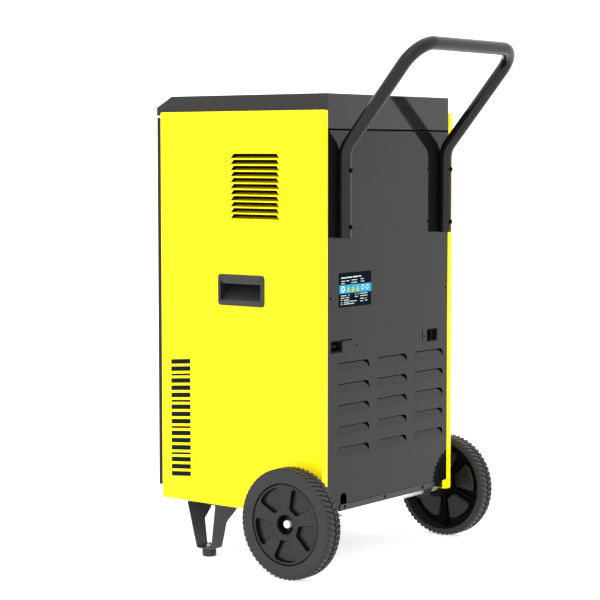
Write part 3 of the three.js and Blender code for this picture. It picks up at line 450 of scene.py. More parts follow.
def side_panel(side):
    xf = AX if side > 0 else MX
    p = Part("side_panel_%s_skin" % ("right" if side > 0 else "left"))
    t, R = 1.5, 2.3
    outer = quarter(R, SIDE_X, 6) + [(0, 201), (0, 198.1), (0.25, 197.65), (0.75, 197.6), (1.25, 197.65), (t, 198.1), (t, 206.5)] + \
        [(t + (R - t) * (1 - math.cos(PI / 2 * k / 3)), SIDE_X - t - (R - t) * (1 - math.sin(PI / 2 * k / 3))) for k in range(4)]
    lip = [(0.3, SIDE_X), (0.09, SIDE_X - 0.09), (0, SIDE_X - 0.3), (0, SIDE_X - t + 0.2), (0.1, SIDE_X - t)]
    loops = [(side_outline(), outer, "open")]
    tabs = []
    for i in range(11):
        zt = 773.2 - i * 11.25
        zb = zt - 8.7
        loops.append((fillet([(-22.4, zb), (94.9, zb), (88.3, zt), (-14.6, zt)], 0.5, 2), lip, "open"))
        tabs.append(zb)
    loops.append((rrect(-48.1, 55.9, 492.2, 544.3, 5, 5), lip, "open"))
    # the panel's inner face takes the near-black lining: painted shade inside the case
    p.relief(loops, xf, back_mat=2)
    # pressed-in tabs behind the slots, hinged on their lower edges, in the darker yellow that is painted shade
    prof = [(SIDE_X - 0.6, -0.9), (SIDE_X - 0.8, -0.1), (SIDE_X - 1.6, 0.55), (SIDE_X - 3.6, 1.25), (SIDE_X - 8.0, 2.6), (SIDE_X - 13.8, 4.3)]
    for zb in tabs:
        vs, fs = [], []
        m = len(prof)
        for j, (x, dz) in enumerate(prof):
            u = j / (m - 1)
            y0, y1 = -22.2 + 7.4 * u, 94.7 - 6.6 * u
            nx, nz = (0.25, 0.75) if j > 1 else (0.55, 0.0)
            vs += [(x, y0, zb + dz), (x, y1, zb + dz), (x - nx * 1.5, y1, zb + dz - nz * 1.5), (x - nx * 1.5, y0, zb + dz - nz * 1.5)]
        for j in range(m - 1):
            a, b = 4 * j, 4 * j + 4
            for k in range(4):
                fs.append((a + k, a + (k + 1) % 4, b + (k + 1) % 4, b + k))
        fs += [(3, 2, 1, 0), (4 * m - 4, 4 * m - 3, 4 * m - 2, 4 * m - 1)]
        p.add(vs, fs, 1, (lambda v: v) if side > 0 else (lambda v: (-v[0], v[1], v[2])))
    # a near-black baffle behind the slots: painted shade that keeps the openings dark
    lo, hi = sorted((side * 197.4, side * 198.2))
    p.plate(rrect(-30, 102, 652, 781, 2, 3), [], lo, hi, AX, rf=0.15, rb=0.15, n=1, mat=2)
    # folded tab at the rear foot
    s = side
    lo, hi = (182, 201.5) if s > 0 else (-201.5, -182)
    p.plate(rrect(lo, hi, 108, 125, 1.2, 3), [], SY1 - 0.3, SY1 + 1.15, AY, rf=0.35, rb=0.2, mat=0)
    return p.build([YELLOW, YELLOW_TAB_SHADE, SHADE_LINING], "root", ["side_panel_right" if s > 0 else "side_panel_left"], "yellow_paint", sharp=34)


side_panel(1)
side_panel(-1)


# ------------------------------------------------------------------ recessed carrying handles
def carry(side):
    s = "right" if side > 0 else "left"
    xf = AX if side > 0 else MX
    p = Part("carry_handle_%s_cup" % s)
    X1 = SIDE_X + 2.9
    out = rrect(-55.3, 56.3, 488.8, 547.7, 6.5, 6)
    rim = [(1.4, X1), (0.75, X1 - 0.12), (0.3, X1 - 0.45), (0.05, X1 - 1.0), (0.0, SIDE_X + 0.35), (3.9, SIDE_X + 0.35), (4.4, SIDE_X + 0.3), (4.5, 211), (4.5, 174), (6.5, 172.2)]
    # the opening, and inside it the cup: upright walls, a sloping floor rising from the lower edge
    op = rrect(-49.9, 49.4, 497.0, 541.0, 2.2, 4)
    hole = [(-0.2, X1 - 0.02), (0.3, X1 - 0.1), (0.7, X1 - 0.6)]
    hole = [(-i, w) for i, w in [(0.9, X1), (0.45, X1 - 0.12), (0.12, X1 - 0.45), (0.0, X1 - 1.2), (-0.1, 209.0), (-1.6, 190.0), (-2.6, 178.5), (-4.2, 176.4), (-6.5, 175.6)]]
    p.relief([(out, rim, "cap"), (op, hole, "cap")], xf)
    # grip lip across the top of the opening, curling down and back
    lipprof = [(X1 - 0.9, 542.0), (X1 - 1.6, 536.0), (X1 - 2.9, 531.4), (X1 - 4.6, 529.7), (X1 - 6.8, 529.9), (X1 - 8.6, 531.8), (X1 - 9.6, 536.0), (X1 - 9.9, 542.0)]
    lip = [(a, b) for a, b in lipprof]
    n = len(lip)
    vs = [(x, y, z) for y in (-50.3, 49.8) for x, z in lip]
    fs = [(i, (i + 1) % n, n + (i + 1) % n, n + i) for i in range(n)] + [tuple(range(n)), tuple(range(2 * n - 1, n - 1, -1))]
    p.add(vs, fs, 0, (lambda v: v) if side > 0 else (lambda v: (-v[0], v[1], v[2])))
    # sloping floor
    fl = [(X1 - 1.4, 497.4), (X1 - 3.2, 499.6), (X1 - 8, 503.2), (X1 - 16, 509.5), (X1 - 26, 518.5), (X1 - 34.5, 528.0), (X1 - 35.2, 526.5), (X1 - 27, 515), (X1 - 16, 505), (X1 - 5, 496.4)]
    n = len(fl)
    vs = [(x, y, z) for y in (-50.2, 49.7) for x, z in fl]
    fs = [(i, (i + 1) % n, n + (i + 1) % n, n + i) for i in range(n)] + [tuple(range(n)), tuple(range(2 * n - 1, n - 1, -1))]
    p.add(vs, fs, 0, (lambda v: v) if side > 0 else (lambda v: (-v[0], v[1], v[2])))
    for v in p.v: v.y += 3.4
    return p.build([CUPP], "root", ["carry_handle_" + s], "black_plastic", sharp=40)


carry(1)
carry(-1)

# ------------------------------------------------------------------ hood
HX, HR, HT = 197.3, 193.8, 882.2
cT, cL = Vector((-182.0, 882.2)), Vector((-220.3, 861.5))
SL = (cT - cL).normalized()
NO = Vector((-SL.y, SL.x))
CM = (cT + cL) / 2


def CH(v):
    """Chamfer frame (x, s up the slope, n out of it) to the case frame."""
    return (v[0], CM.x + SL.x * v[1] + NO.x * v[2], CM.y + SL.y * v[1] + NO.y * v[2])


def boolean(a, b, op="DIFFERENCE"):
    m = a.modifiers.new("cut", "BOOLEAN")
    m.object, m.operation, m.solver = b, op, "EXACT"
    dg = bpy.context.evaluated_depsgraph_get()
    me = bpy.data.meshes.new_from_object(a.evaluated_get(dg))
    a.modifiers.remove(m)
    old = a.data
    a.data = me
    bpy.data.meshes.remove(old)
    bpy.data.objects.remove(b, do_unlink=True)
    return a


def loose(part, mats):
    """A mesh object that isn't a piece yet, for cutting with."""
    me = bpy.data.meshes.new(part.name)
    me.from_pydata([P(v) for v in part.v], [], part.f)
    bm = bmesh.new(); bm.from_mesh(me)
    bmesh.ops.remove_doubles(bm, verts=bm.verts, dist=2e-6)
    bmesh.ops.recalc_face_normals(bm, faces=bm.faces)
    bm.to_mesh(me); bm.free()
    for m in mats: me.materials.append(m)
    ob = bpy.data.objects.new(part.name, me)
    bpy.context.scene.collection.objects.link(ob)
    return ob


def cutter(name, loop, w0, w1, xf):
    """A sharp prism to cut with."""
    q = Part(name)
    n = len(loop)
    vs = [xf((u, v, w)) for w in (w0, w1) for u, v in loop]
    q.add(vs, [tuple(range(n))[::-1], tuple(range(n, 2 * n))] + [(i, (i + 1) % n, n + (i + 1) % n, n + i) for i in range(n)], 0)
    return loose(q, [HOODP])


def finish_piece(ob, body, replaces, sharp=32, bevel=0.0, angle=30):
    me = ob.data
    if bevel:
        b = ob.modifiers.new("edge", "BEVEL")
        b.width, b.segments, b.limit_method, b.angle_limit = bevel / 1000.0, 2, "ANGLE", math.radians(angle)
    me.shade_smooth()
    me.set_sharp_from_angle(angle=math.radians(sharp))
    w = ob.modifiers.new("wn", "WEIGHTED_NORMAL"); w.keep_sharp = True; w.weight = 100
    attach(ob, body)
    if replaces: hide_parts(*replaces)
    return ob


hood_loop = fillet([(HR, 818.5), (HR, HT), (cT.x, cT.y), (cL.x, cL.y), (cL.x, 846), (-201.9, 846), (-201.9, 836), (150, 836), (168, 818.5)],
                   [0.7, 2.2, 1.6, 1.8, 0.8, 0.3, 0.8, 0.5, 0.7], 5)
hp = Part("hood_cover")
hp.plate(hood_loop, [], -HX, HX, AX, rf=0.6, rb=0.6, n=4)
hood = loose(hp, [HOODP, BLACKHOLE])
boolean(hood, cutter("hood_inner", [(HR - 1.5, 700), (HR - 1.5, HT - 1.8), (-182, HT - 1.8), (cL.x + 1.5, cL.y - 1), (cL.x + 1.5, 800), (-150, 700)], -HX + 1.5, HX - 1.5, AX))
boolean(hood, cutter("hood_slot", rrect(-115.3, 115.3, -15.3, 15.3, 2.0, 4), -12, 8, CH))
finish_piece(hood, "root", ["hood"], sharp=28)

# ------------------------------------------------------------------ control panel, display, keys, rocker
BX, BR, RX = [0, 24, 48], 6.8, 84
cp = Part("control_fascia")
cp_out = [(0.9, 0.55), (0.4, 0.42), (0.1, 0.1), (0.0, -0.3), (0.0, -2.3), (0.2, -2.5)]
edge = [(0.35, 0.55), (0.1, 0.45), (0.0, 0.2), (0.0, -2.4), (0.05, -2.5)]
loops = [(rrect(-114.9, 114.9, -14.9, 14.9, 1.8, 4), cp_out, "open"), (rrect(-84, -24, -9, 9, 1.0, 3), edge, "open"), (rrect(RX - 13.2, RX + 13.2, -8.2, 8.2, 1.0, 3), edge, "open")]
for x in BX: loops.append((ring(x, 0, BR + 0.4, 28), edge, "open"))
cp.relief(loops, CH)
# printed marks beside the keys: rings and bars only
for x in BX:
    cp.plate(ring(x, -11.6, 0.7, 10), [], 0.5, 0.62, CH, rf=0.02, rb=0.0, n=1, mat=1)
cp.plate(rrect(-84, -24, 10.3, 10.9, 0.25, 2), [], 0.5, 0.62, CH, rf=0.02, rb=0.0, n=1, mat=1)
cp.plate(rrect(RX - 13, RX + 13, 10.3, 10.9, 0.25, 2), [], 0.5, 0.62, CH, rf=0.02, rb=0.0, n=1, mat=1)
for x in (-104, -95):
    cp.plate(ring(x, 0, 2.1, 16), [], 0.5, 0.85, CH, rf=0.25, rb=0.0, n=2, mat=2)
cp.build([PLASTIC, MARKW, LIME], "root", ["control_panel"], "black_plastic", sharp=38)
dp = Part("display_glass")
dp.plate(rrect(-83.7, -24.3, -8.7, 8.7, 0.9, 3), [], -2.0, 0.42, CH, rf=0.25, rb=0.1, n=2)
for k in range(3):      # blank seven-segment places
    cx = -70 + k * 13.5
    for (a0, a1, b0, b1) in ((-3, 3, 5.0, 5.9), (-3, 3, -0.45, 0.45), (-3, 3, -5.9, -5.0), (-4.1, -3.2, 0.7, 4.8), (3.2, 4.1, 0.7, 4.8), (-4.1, -3.2, -4.8, -0.7), (3.2, 4.1, -4.8, -0.7)):
        dp.plate(rrect(cx + a0, cx + a1, b0, b1, 0.3, 2), [], 0.38, 0.5, CH, rf=0.03, rb=0.0, n=1, mat=1)
dp.build([DISPLAY, SEGMENT], "root", ["display_window"], "display", sharp=38)
for name, x, kind in (("button_up", 0, 1), ("button_down", 24, -1), ("button_mode", 48, 0)):
    b = Part(name + "_cap")
    b.relief([(ring(x, 0, BR, 32), [(6.2, 1.55), (4.5, 1.6), (2.4, 1.85), (1.4, 2.3), (0.9, 2.38), (0.35, 2.2), (0.08, 1.8), (0.0, 1.2), (0.0, -5.8), (0.2, -6.0)], "cap")], CH)
    if kind:
        b.plate(fillet([(x - 1.9, -1.2 * kind), (x + 1.9, -1.2 * kind), (x, 1.7 * kind)] if kind > 0 else [(x - 1.9, 1.2), (x, -1.7), (x + 1.9, 1.2)], 0.3, 2), [], 1.5, 1.9, CH, rf=0.05, rb=0.0, n=1, mat=1)
    else:
        b.plate(ring(x, 0, 1.9, 20), [ring(x, 0, 1.2, 20)], 1.5, 1.9, CH, rf=0.05, rb=0.0, n=1, mat=1)
    b.build([KEY, MARKW], name, [name], "button_grey", sharp=38)
rk = Part("power_rocker")
rprof = fillet([(-12, -7.5), (12, -7.5), (12, -0.7), (10.6, 2.7), (0, 1.4), (-10.6, 2.7), (-12, -0.7)], [0.3, 0.3, 0.6, 0.9, 6, 0.9, 0.6], 4)
rk.plate([(RX + a, b) for a, b in rprof], [], -7.7, 7.7, lambda v: CH((v[0], v[2], v[1])), rf=0.5, rb=0.5, n=3)
rk.plate(rrect(RX + 6.0, RX + 6.9, -2.6, 2.6, 0.35, 2), [], 1.6, 2.35, CH, rf=0.05, rb=0.0, n=1, mat=1)
rk.plate(ring(RX - 6.5, 0, 2.7, 22), [ring(RX - 6.5, 0, 1.9, 22)], 1.6, 2.4, CH, rf=0.05, rb=0.0, n=1, mat=1)
rk.build([RED, MARKW], "power_switch", ["power_switch"], "switch_red", sharp=38)

# ------------------------------------------------------------------ rear panel with pressed louvres
COLS, ROWS = [(67, 171), (-57, 46), (-182, -78)], [390, 351, 312, 272, 233]
LH, LR = 17.5, 10.5


def louvre_loop(x0, x1, zt, g=0.0, h=LH):
    x0, x1, zt = x0 + g, x1 - g, zt - g
    zb = zt - h
    r = LR - g
    out = [(x0, zb), (x1, zb)]
    for k in range(8): t = math.radians(90 * k / 7); out.append((x1 - r + r * math.cos(t), zt - r + r * math.sin(t)))
    for k in range(8): t = math.radians(90 + 90 * k / 7); out.append((x0 + r + r * math.cos(t), zt - r + r * math.sin(t)))
    return out


rp = Part("rear_panel_sheet")
y0, y1 = 192.3, 193.8
hl = [(0.22, y1), (0.06, y1 - 0.06), (0.0, y1 - 0.22), (0.0, y0 + 0.1), (0.05, y0)]
loops = [(rrect(-196.7, 196.7, 117.6, 815.4, 1.0, 3), [(0.5, y1), (0.15, y1 - 0.15), (0.0, y1 - 0.5), (0.0, y0 + 0.2), (0.1, y0)], "open")]
for x0, x1 in COLS:
    for z in ROWS: loops.append((louvre_loop(x0, x1, z), hl, "open"))
loops.append((fillet([(152, 409.5), (188.3, 409.5), (188.3, 432), (123.5, 432), (123.5, 429.9), (152, 429.9)], [0.6, 0.6, 0.6, 0.8, 0.8, 0.4], 2), hl, "open"))
loops.append((fillet([(-161.5, 406.4), (-124.9, 406.4), (-124.9, 431.4), (-161.5, 431.4)], 0.6, 2), hl, "open"))
loops.append((rrect(-111.4, -109, 408, 429, 0.8, 3), hl, "open"))
loops.append((ring(108, 419, 2.0, 16), hl, "open"))
loops.append((ring(-117, 418, 1.8, 14), hl, "open"))
arch = [(138.2, 127.0), (158.0, 127.0)] + [(148.1 + 9.9 * math.cos(PI * k / 16), 137.6 + 9.9 * math.sin(PI * k / 16)) for k in range(17)]
loops.append((arch, hl, "open"))
for x in (162, -168):
    for z in (640.2, 742.7): loops.append((ring(x, z, 3.4, 16), hl, "open"))
rp.relief(loops, AY)
# louvre tongues: sheet pressed inwards, hinged on the lower edge
for x0, x1 in COLS:
    for zt in ROWS:
        g = 0.35
        zb, H = zt - LH, LH - g
        nu, nv = 22, 9
        vs, fs = [], []
        for j in range(nv + 1):
            h = H * (1 - (1 - j / nv) ** 1.6)
            r = LR - g
            cut = 0.0
            if h > H - r:
                cut = r - math.sqrt(max(r * r - (h - (H - r)) ** 2, 0.0))
            a, b = x0 + g + cut, x1 - g - cut
            u = h / H
            d = 5.4 * (u - 0.16 * (1 - math.exp(-u * 9)) * (1 - u))
            tilt = 0.35
            for i in range(nu + 1):
                x = a + (b - a) * (0.5 - 0.5 * math.cos(PI * i / nu))
                vs.append((x, y1 - max(d, 0.0), zb + h * (1 - 0.035 * u)))
            for i in range(nu + 1):
                x = a + (b - a) * (0.5 - 0.5 * math.cos(PI * i / nu))
                vs.append((x, y1 - max(d, 0.0) - 1.42, zb + h * (1 - 0.035 * u) - 0.5 * u))
        w = 2 * (nu + 1)
        for j in range(nv):
            for i in range(nu):
                a, b = j * w + i, (j + 1) * w + i
                fs.append((a, a + 1, b + 1, b))
                fs.append((a + nu + 2, a + nu + 1, b + nu + 1, b + nu + 2))
            for i in (0, nu):
                a, b = j * w + i, (j + 1) * w + i
                fs.append((a, b, b + nu + 1, a + nu + 1))
        for j in (0, nv):
            for i in range(nu):
                a = j * w + i
                fs.append((a, a + nu + 1, a + nu + 2, a + 1))
        rp.add(vs, fs, 0)
# small blind screws with their heads sunk into the sheet
for x, z in ((188.4, 510), (-190.5, 509)):
    rp.revolve([(0, 193.9), (1.1, 193.85), (1.2, 194.25), (2.4, 194.1), (2.9, 193.75), (2.9, 192.5), (0, 192.5)], "Y", (x, 0, z), 20, 1)
# the strip behind the seam takes the near-black lining: painted shade in the gap below the hood
rp.plate(rrect(-195, 195, 804, 826, 1.0, 2), [], 181.0, 182.4, AY, rf=0.2, rb=0.2, n=1, mat=2)      # sealing strip behind the seam
for s in (1, -1):       # forward flanges
    rp.bar(min(s * 195.2, s * 196.7), max(s * 195.2, s * 196.7), 182.3, 192.5, 135, 812, 0.3, 0, "Z")
rp.build([DARK, SCREWM, SHADE_LINING], "root", ["rear_panel"], "dark_paint", sharp=30)

# rating plate: generic, with bars in place of print
lb = Part("rating_plate_film")
lb.plate(rrect(63, 163, 492, 555.5, 1.5, 4), [], 194.1, 194.62, AY, rf=0.1, rb=0.02, n=2)
YL = (194.6, 194.68)


def strip(x0, x1, z0, z1, mat, w=YL):
    lb.plate(rrect(x0, x1, z0, z1, min(0.5, (z1 - z0) / 2.2), 2), [], w[0], w[1], AY, rf=0.015, rb=0.0, n=1, mat=mat)


lb.plate(rrect(63.05, 162.95, 517.3, 533.1, 0.1, 1), [], 194.58, 194.645, AY, rf=0.01, rb=0.0, n=1, mat=1)
# X runs right to left as the plate is read
for a, b, z, h in ((6, 22, 546.0, 2.0), (23.5, 40, 546.4, 2.0), (42, 58, 546.8, 2.0), (60, 68, 547.1, 2.0)):
    strip(163 - b, 163 - a, z - h / 2, z + h / 2, 2)
for a, b, z in ((6, 18, 539.8), (21, 31, 540.2), (38, 55, 541), (66, 76, 541.8), (6, 17, 535.6), (37, 55, 536.4), (67, 78, 537.2),
                (5, 22, 513.2), (28, 32, 513.8), (49, 53, 514.2), (58, 62, 514.4), (65, 88, 514.8), (5, 16, 508.9), (20, 31, 509.2), (48, 58, 509.8), (65, 88, 510.4),
                (5, 10, 505.0), (14, 31, 505.0), (5, 9, 500.6), (14, 31, 501.0), (33, 54, 502.0), (65, 78, 505.2), (82, 86, 505.6), (5, 9, 497.2), (13, 46, 497.6), (65, 74, 500.6), (79, 88, 501.2)):
    strip(163 - b, 163 - a, z - 0.6, z + 0.6, 2)
lb.plate(ring(163 - 12, 525, 5.6, 24), [ring(163 - 12, 525, 3.0, 24)], 194.63, 194.72, AY, rf=0.015, rb=0.0, n=1, mat=2)
for k in range(3):      # plain drops in place of symbols
    cx = 163 - 28 - k * 14.5
    drop = [(cx + 4.4 * math.sin(t) * (1 - 0.45 * max(0, math.cos(t))), 523.6 + 4.6 * math.cos(t) + (2.2 * math.cos(t) ** 7 if math.cos(t) > 0 else 0)) for t in [2 * PI * i / 28 for i in range(28)]]
    lb.plate(drop, [], 194.63, 194.72, AY, rf=0.015, rb=0.0, n=1, mat=3)
for a in (70, 84):
    lb.plate(ring(163 - a - 3, 526.3, 4.6, 22), [ring(163 - a - 3, 526.3, 3.2, 22)], 194.63, 194.72, AY, rf=0.015, rb=0.0, n=1, mat=2)
lb.build([LABELN, CYAN, MARKW, LIME], "root", ["rating_plate"], "label", sharp=38)

# socket inserts in the rear windows
si = Part("power_inlet_body")
si.relief([(rrect(152.4, 187.9, 409.9, 431.6, 1.0, 3), [(0.6, 193.2), (0.15, 193.05), (0.0, 192.7), (0, 163), (0.5, 162.2)], "cap"),
           (rrect(155.0, 185.3, 412.3, 429.2, 3.0, 4), [(0.0, 193.2), (0.0, 177.0), (-0.8, 176.2)], "cap")], AY)
for x in (163.5, 170.2, 176.8):
    si.bar(x - 1.0, x + 1.0, 175.5, 186.5, 418.2, 423.4, 0.4, 1, "Y")
si.build([BLACKHOLE, ENAMEL], "root", ["power_inlet"], "black_plastic", sharp=38)
sc = Part("control_socket_body")
sc.relief([(rrect(-161.1, -125.3, 406.8, 431.0, 1.0, 3), [(0.6, 193.2), (0.15, 193.05), (0.0, 192.7), (0, 163), (0.5, 162.2)], "cap"),
           (rrect(-158.8, -144.6, 409, 428.8, 1.2, 3), [(0.0, 193.2), (0.0, 173.2), (-0.6, 172.4)], "cap"),
           (rrect(-141.8, -127.6, 409, 428.8, 1.2, 3), [(0.0, 193.2), (0.0, 173.2), (-0.6, 172.4)], "cap")], AY)
sc.build([BLACKHOLE], "root", ["control_socket"], "black_plastic", sharp=38)

# ------------------------------------------------------------------ base tray
bt = Part("base_tray_folded")
X0L, X1L = -152, 160.5
lipo = fillet([(X0L, 115.0), (X1L, 115.0), (X1L, 126.7), (X0L, 126.7)], [0.6, 0.6, 1.2, 1.2], 3)
lh = [(0.2, 195.6), (0.05, 195.5), (0.0, 195.3), (0.0, 194.3), (0.05, 194.1)]
bt.relief([(lipo, [(0.55, 195.6), (0.16, 195.44), (0.0, 195.1), (0.0, 194.3), (0.1, 194.1)], "open")], AY)
bt.bar(X0L + 0.2, X1L - 0.2, 189, 195.3, 115.0, 117.0, 0.6, 0, "X")
bt.bar(-196, 196, -200, 191.5, 115.0, 117.0, 0.6, 0, "X")
bt.bar(-196, 196, -200, -198.5, 115.2, 125.5, 0.5, 0, "X")
for s in (1, -1):
    a, b = sorted((s * 194.5, s * 196.0))
    bt.bar(a, b, -200, 191.5, 115.2, 124, 0.5, 0, "Y")
    # U runner under the floor, with a lightening slot
    a, b = sorted((s * 142.0, s * 196.5))
    c, d = sorted((s * 150.0, s * 188.0))
    bt.plate(rrect(a, b, -185, 108, 1.2, 3), [rrect(c, d, 10, 92, 8, 5)], 105.3, 106.8, AZ, rf=0.4, rb=0.4)
    for e in (142.0, 195.0):
        a, b = sorted((s * e, s * (e + 1.5)))
        bt.bar(a, b, -185, 108, 105.5, 115.2, 0.4, 0, "Y")
    a, b = sorted((s * 142.0, s * 196.5))
    for yy in (-185, 106.5):
        bt.bar(a, b, yy, yy + 1.5, 105.5, 115.2, 0.4, 0, "X")
for x in (145.6, 17.5, -110.6):      # lip screws
    bt.revolve([(0, 195.9), (1.2, 195.85), (1.3, 196.5), (2.6, 196.3), (3.1, 195.7), (3.1, 195.3), (0, 195.3)], "Y", (x, 0, 121.6), 20, 1)
for i in range(5):                    # cross ribs pressed under the floor
    yv = -150 + i * 70
    bt.bar(-130, 130, yv - 5, yv + 5, 113.6, 115.3, 1.1, 0, "X", n=3)
bt.build([FRAMEP, SCREWM], "root", ["base_tray"], "frame_paint", sharp=34)

# ------------------------------------------------------------------ front panel
fp = Part("front_panel_sheet")
FW, BW = 220.3, 201.8        # w runs along -Y
t = 1.5
fo = quarter(1.8, FW, 4) + [(0, BW + 0.5), (0.3, BW), (t - 0.3, BW), (t, BW + 0.5), (t, FW - 2.2), (t + 0.3, FW - t)]
fh = [(0.9, FW), (0.28, FW - 0.25), (0.0, FW - 0.9), (0.0, FW - t + 0.2), (0.1, FW - t)]
fp.relief([(rrect(-197, 197, 126, 842.5, 2.2, 4), fo, "open"), (rrect(-165, 165, 430, 800, 8, 6), fh, "open"), (rrect(-172, 172, 136, 378, 6, 5), fh, "open")], NY)
# a shallow pressed line between the intake and the tank
for z in (404.0,):
    fp.bar(-165, 165, -FW - 0.0, -FW + 1.0, z - 2, z + 2, 0.45, 0, "X")
for x in (-186, 186):
    for z in (140, 404, 828):
        fp.revolve([(0, -219.2), (1.1, -219.1), (1.2, -220.25), (2.6, -220.2), (3.2, -219.9), (3.2, -219.0), (0, -219.0)], "Y", (x, 0, z), 20, 1)
fp.build([DARK, SCREWM], "root", ["front_panel"], "dark_paint", sharp=30)

# ------------------------------------------------------------------ intake cassette and filter
ig = Part("intake_louvres")
X, GZ0, GZ1 = 164, 431, 799
ig.plate(rrect(-X, X, GZ0, GZ1, 7, 6), [rrect(-X + 10, X - 10, GZ0 + 10, GZ1 - 10, 4, 5)], 194.2, 216.7, NY, rf=1.3, rb=0.5, n=4, rh=1.0)
nb = 24
for i in range(nb):
    z = GZ0 + 17.5 + i * (GZ1 - GZ0 - 35) / (nb - 1)
    c, s = math.cos(math.radians(62)), math.sin(math.radians(62))
    pr = fillet([(-7.2, -0.85), (7.2, -0.85), (7.2, 0.85), (-7.2, 0.85)], 0.8, 4)
    lp = [(-211.0 + a * c - b * s, z + a * s + b * c) for a, b in pr]
    if area(lp) < 0: lp = lp[::-1]
    ig.plate(lp, [], -X + 8.5, X - 8.5, AX, rf=0.2, rb=0.2, n=1)
for x in (-77, 0, 77):
    ig.bar(x - 1.6, x + 1.6, -209, -206.4, GZ0 + 6, GZ1 - 6, 0.7, 0, "Z")
ig.relief([(rrect(-62, 62, GZ1 - 28, GZ1 - 6, 5, 5), [(1.2, 216.75), (0.35, 216.4), (0.0, 215.6), (0.0, 212.2), (0.3, 212)], "cap"),
           (rrect(-52, 52, GZ1 - 24, GZ1 - 13, 4, 5), [(0.6, 216.75), (0.1, 216.3), (-0.2, 215.0), (-1.6, 213.4), (-3.0, 213.0)], "cap")], NY)
ig.build([PLASTIC], "filter", ["intake_grille"], "black_plastic", sharp=38)
af = Part("filter_mesh_pad")
F0, F1, FX = GZ0 + 9.6, GZ1 - 9.6, X - 9.6
af.plate(rrect(-FX, FX, F0, F1, 3, 4), [rrect(-FX + 7, FX - 7, F0 + 7, F1 - 7, 2, 3)], 196.2, 205.6, NY, rf=0.8, rb=0.5, n=3, mat=1)
# pleated medium
m = 60
vs, fs = [], []
for i in range(2 * m + 1):
    x = -FX + 6 + (2 * FX - 12) * i / (2 * m)
    yy = -204.0 if i % 2 else -198.4
    vs += [(x, yy, F0 + 6), (x, yy, F1 - 6), (x, yy + 1.0, F1 - 6), (x, yy + 1.0, F0 + 6)]
for i in range(2 * m):
    a, b = 4 * i, 4 * i + 4
    for k in range(4): fs.append((a + k, a + (k + 1) % 4, b + (k + 1) % 4, b + k))
fs += [(3, 2, 1, 0), (8 * m, 8 * m + 1, 8 * m + 2, 8 * m + 3)]
af.add(vs, fs, 0)
af.build([MESHM, PLASTIC], "filter", ["air_filter"], "filter_pad", sharp=30)

# ------------------------------------------------------------------ tank drawer
tf = Part("tank_front_cover")
to = quarter(2.4, 217, 5) + [(0, 191), (0.4, 190.5), (2.1, 190.5), (2.5, 191), (2.5, 213.2), (2.9, 214.5)]
th = [(1.6, 217), (0.6, 216.75), (0.1, 216.1), (0.0, 215.2), (0.0, 214.8), (0.1, 214.5)]
tf.relief([(rrect(-171, 171, 137, 377, 6, 6), to, "open"), (rrect(-58, 58, 318, 350, 8, 7), th, "open"), (rrect(120, 136, 165, 345, 3, 5), [(0.5, 217), (0.12, 216.9), (0.0, 216.5), (0, 214.6), (0.05, 214.5)], "open")], NY)
# curled grip behind the upper edge of the hand slot
gp = fillet([(-214.8, 352), (-203, 352), (-203, 344.5), (-207, 340.5), (-209.2, 344), (-207, 348.6), (-214.8, 348.6)], [0.3, 1.5, 2, 1.2, 1.2, 2, 0.3], 4)
tf.plate(gp if area(gp) > 0 else gp[::-1], [], -56, 56, AX, rf=0.4, rb=0.4, n=2)
for x in (-150, 150):
    tf.bar(x - 5, x + 5, -214.8, -190.4, 200, 212, 1.0, 0, "Y")
for k in range(7):       # graduation ticks beside the window
    z = 180 + k * 25
    tf.plate(rrect(108 if k % 2 else 104, 116, z - 0.6, z + 0.6, 0.3, 2), [], 216.9, 217.12, NY, rf=0.03, rb=0.0, n=1, mat=1)
tf.build([DARK, MARKW], "tank", ["tank_front"], "dark_paint", sharp=34)
lw = Part("level_window_pane")
lw.plate(rrect(120.4, 135.6, 165.4, 344.6, 2.6, 4), [], 214.8, 216.3, NY, rf=0.5, rb=0.1, n=3)
lw.plate(rrect(117, 139, 161, 349, 3, 4), [], 212, 214.1, NY, rf=0.3, rb=0.3, n=2)
lw.plate(rrect(121.2, 134.8, 166.2, 343.8, 2, 4), [], 213.8, 215.0, NY, rf=0.1, rb=0.1, n=1)
lw.build([WINDOW], "tank", ["level_window"], "clear_plastic", sharp=38)
wt = Part("water_tank_bucket")
to2 = rrect(-158, 158, -190, -32, 10, 6)
wt.relief([(to2, [(1.2, 368), (0.4, 367.8), (0.0, 367.2), (0.0, 150), (1.2, 144), (4.0, 141.3), (7.5, 140.5)], "cap"),
           (inset(to2, 3.0), [(-0.0, 368), (0.0, 366), (0.0, 150), (-1.6, 145.4), (-5, 143.6)], "cap")], AZ)
wt.plate(inset(to2, -2.6), [inset(to2, 0.6)], 360.5, 366, AZ, rf=0.9, rb=0.9, n=3)
for z in (190, 250, 310):     # stiffening beads
    wt.plate(inset(to2, -1.0), [inset(to2, 1.0)], z - 3, z + 3, AZ, rf=0.9, rb=0.9, n=3)
for x in (-112, -91):
    wt.bar(x, x + 3, -152, -134, 143, 342, 1.0, 0, "Z")
wt.build([WHITEP], "tank", ["water_tank"], "white_plastic", sharp=38)
fa = Part("float_arm_body")
fa.revolve([(2.5, -107.6), (5.4, -107.6), (6, -107), (6, -93), (5.4, -92.4), (2.5, -92.4)], "X", (0, -143, 332), 24, 0, closed=True)
fa.bar(-104, -96, -139, -75, 329.6, 333, 1.2, 0, "Y", n=3)
fa.plate(rrect(-125, -75, -98, -52, 8, 6), [], 300, 331, AZ, rf=4, rb=4, n=5, mat=1)
fa.build([WHITEP, FLOATM], "float", ["float_arm"], "white_plastic", sharp=40)
fpn = Part("float_pin_rod")
fpn.revolve([(0, -114), (1.4, -114), (2, -113.4), (2, -86.6), (1.4, -86), (0, -86)], "X", (0, -143, 332), 20, 0)
fpn.build([BRIGHT], "tank", ["float_pin"], "bright_steel", sharp=40)
paint("tank_shelf", GALV, 0.4)

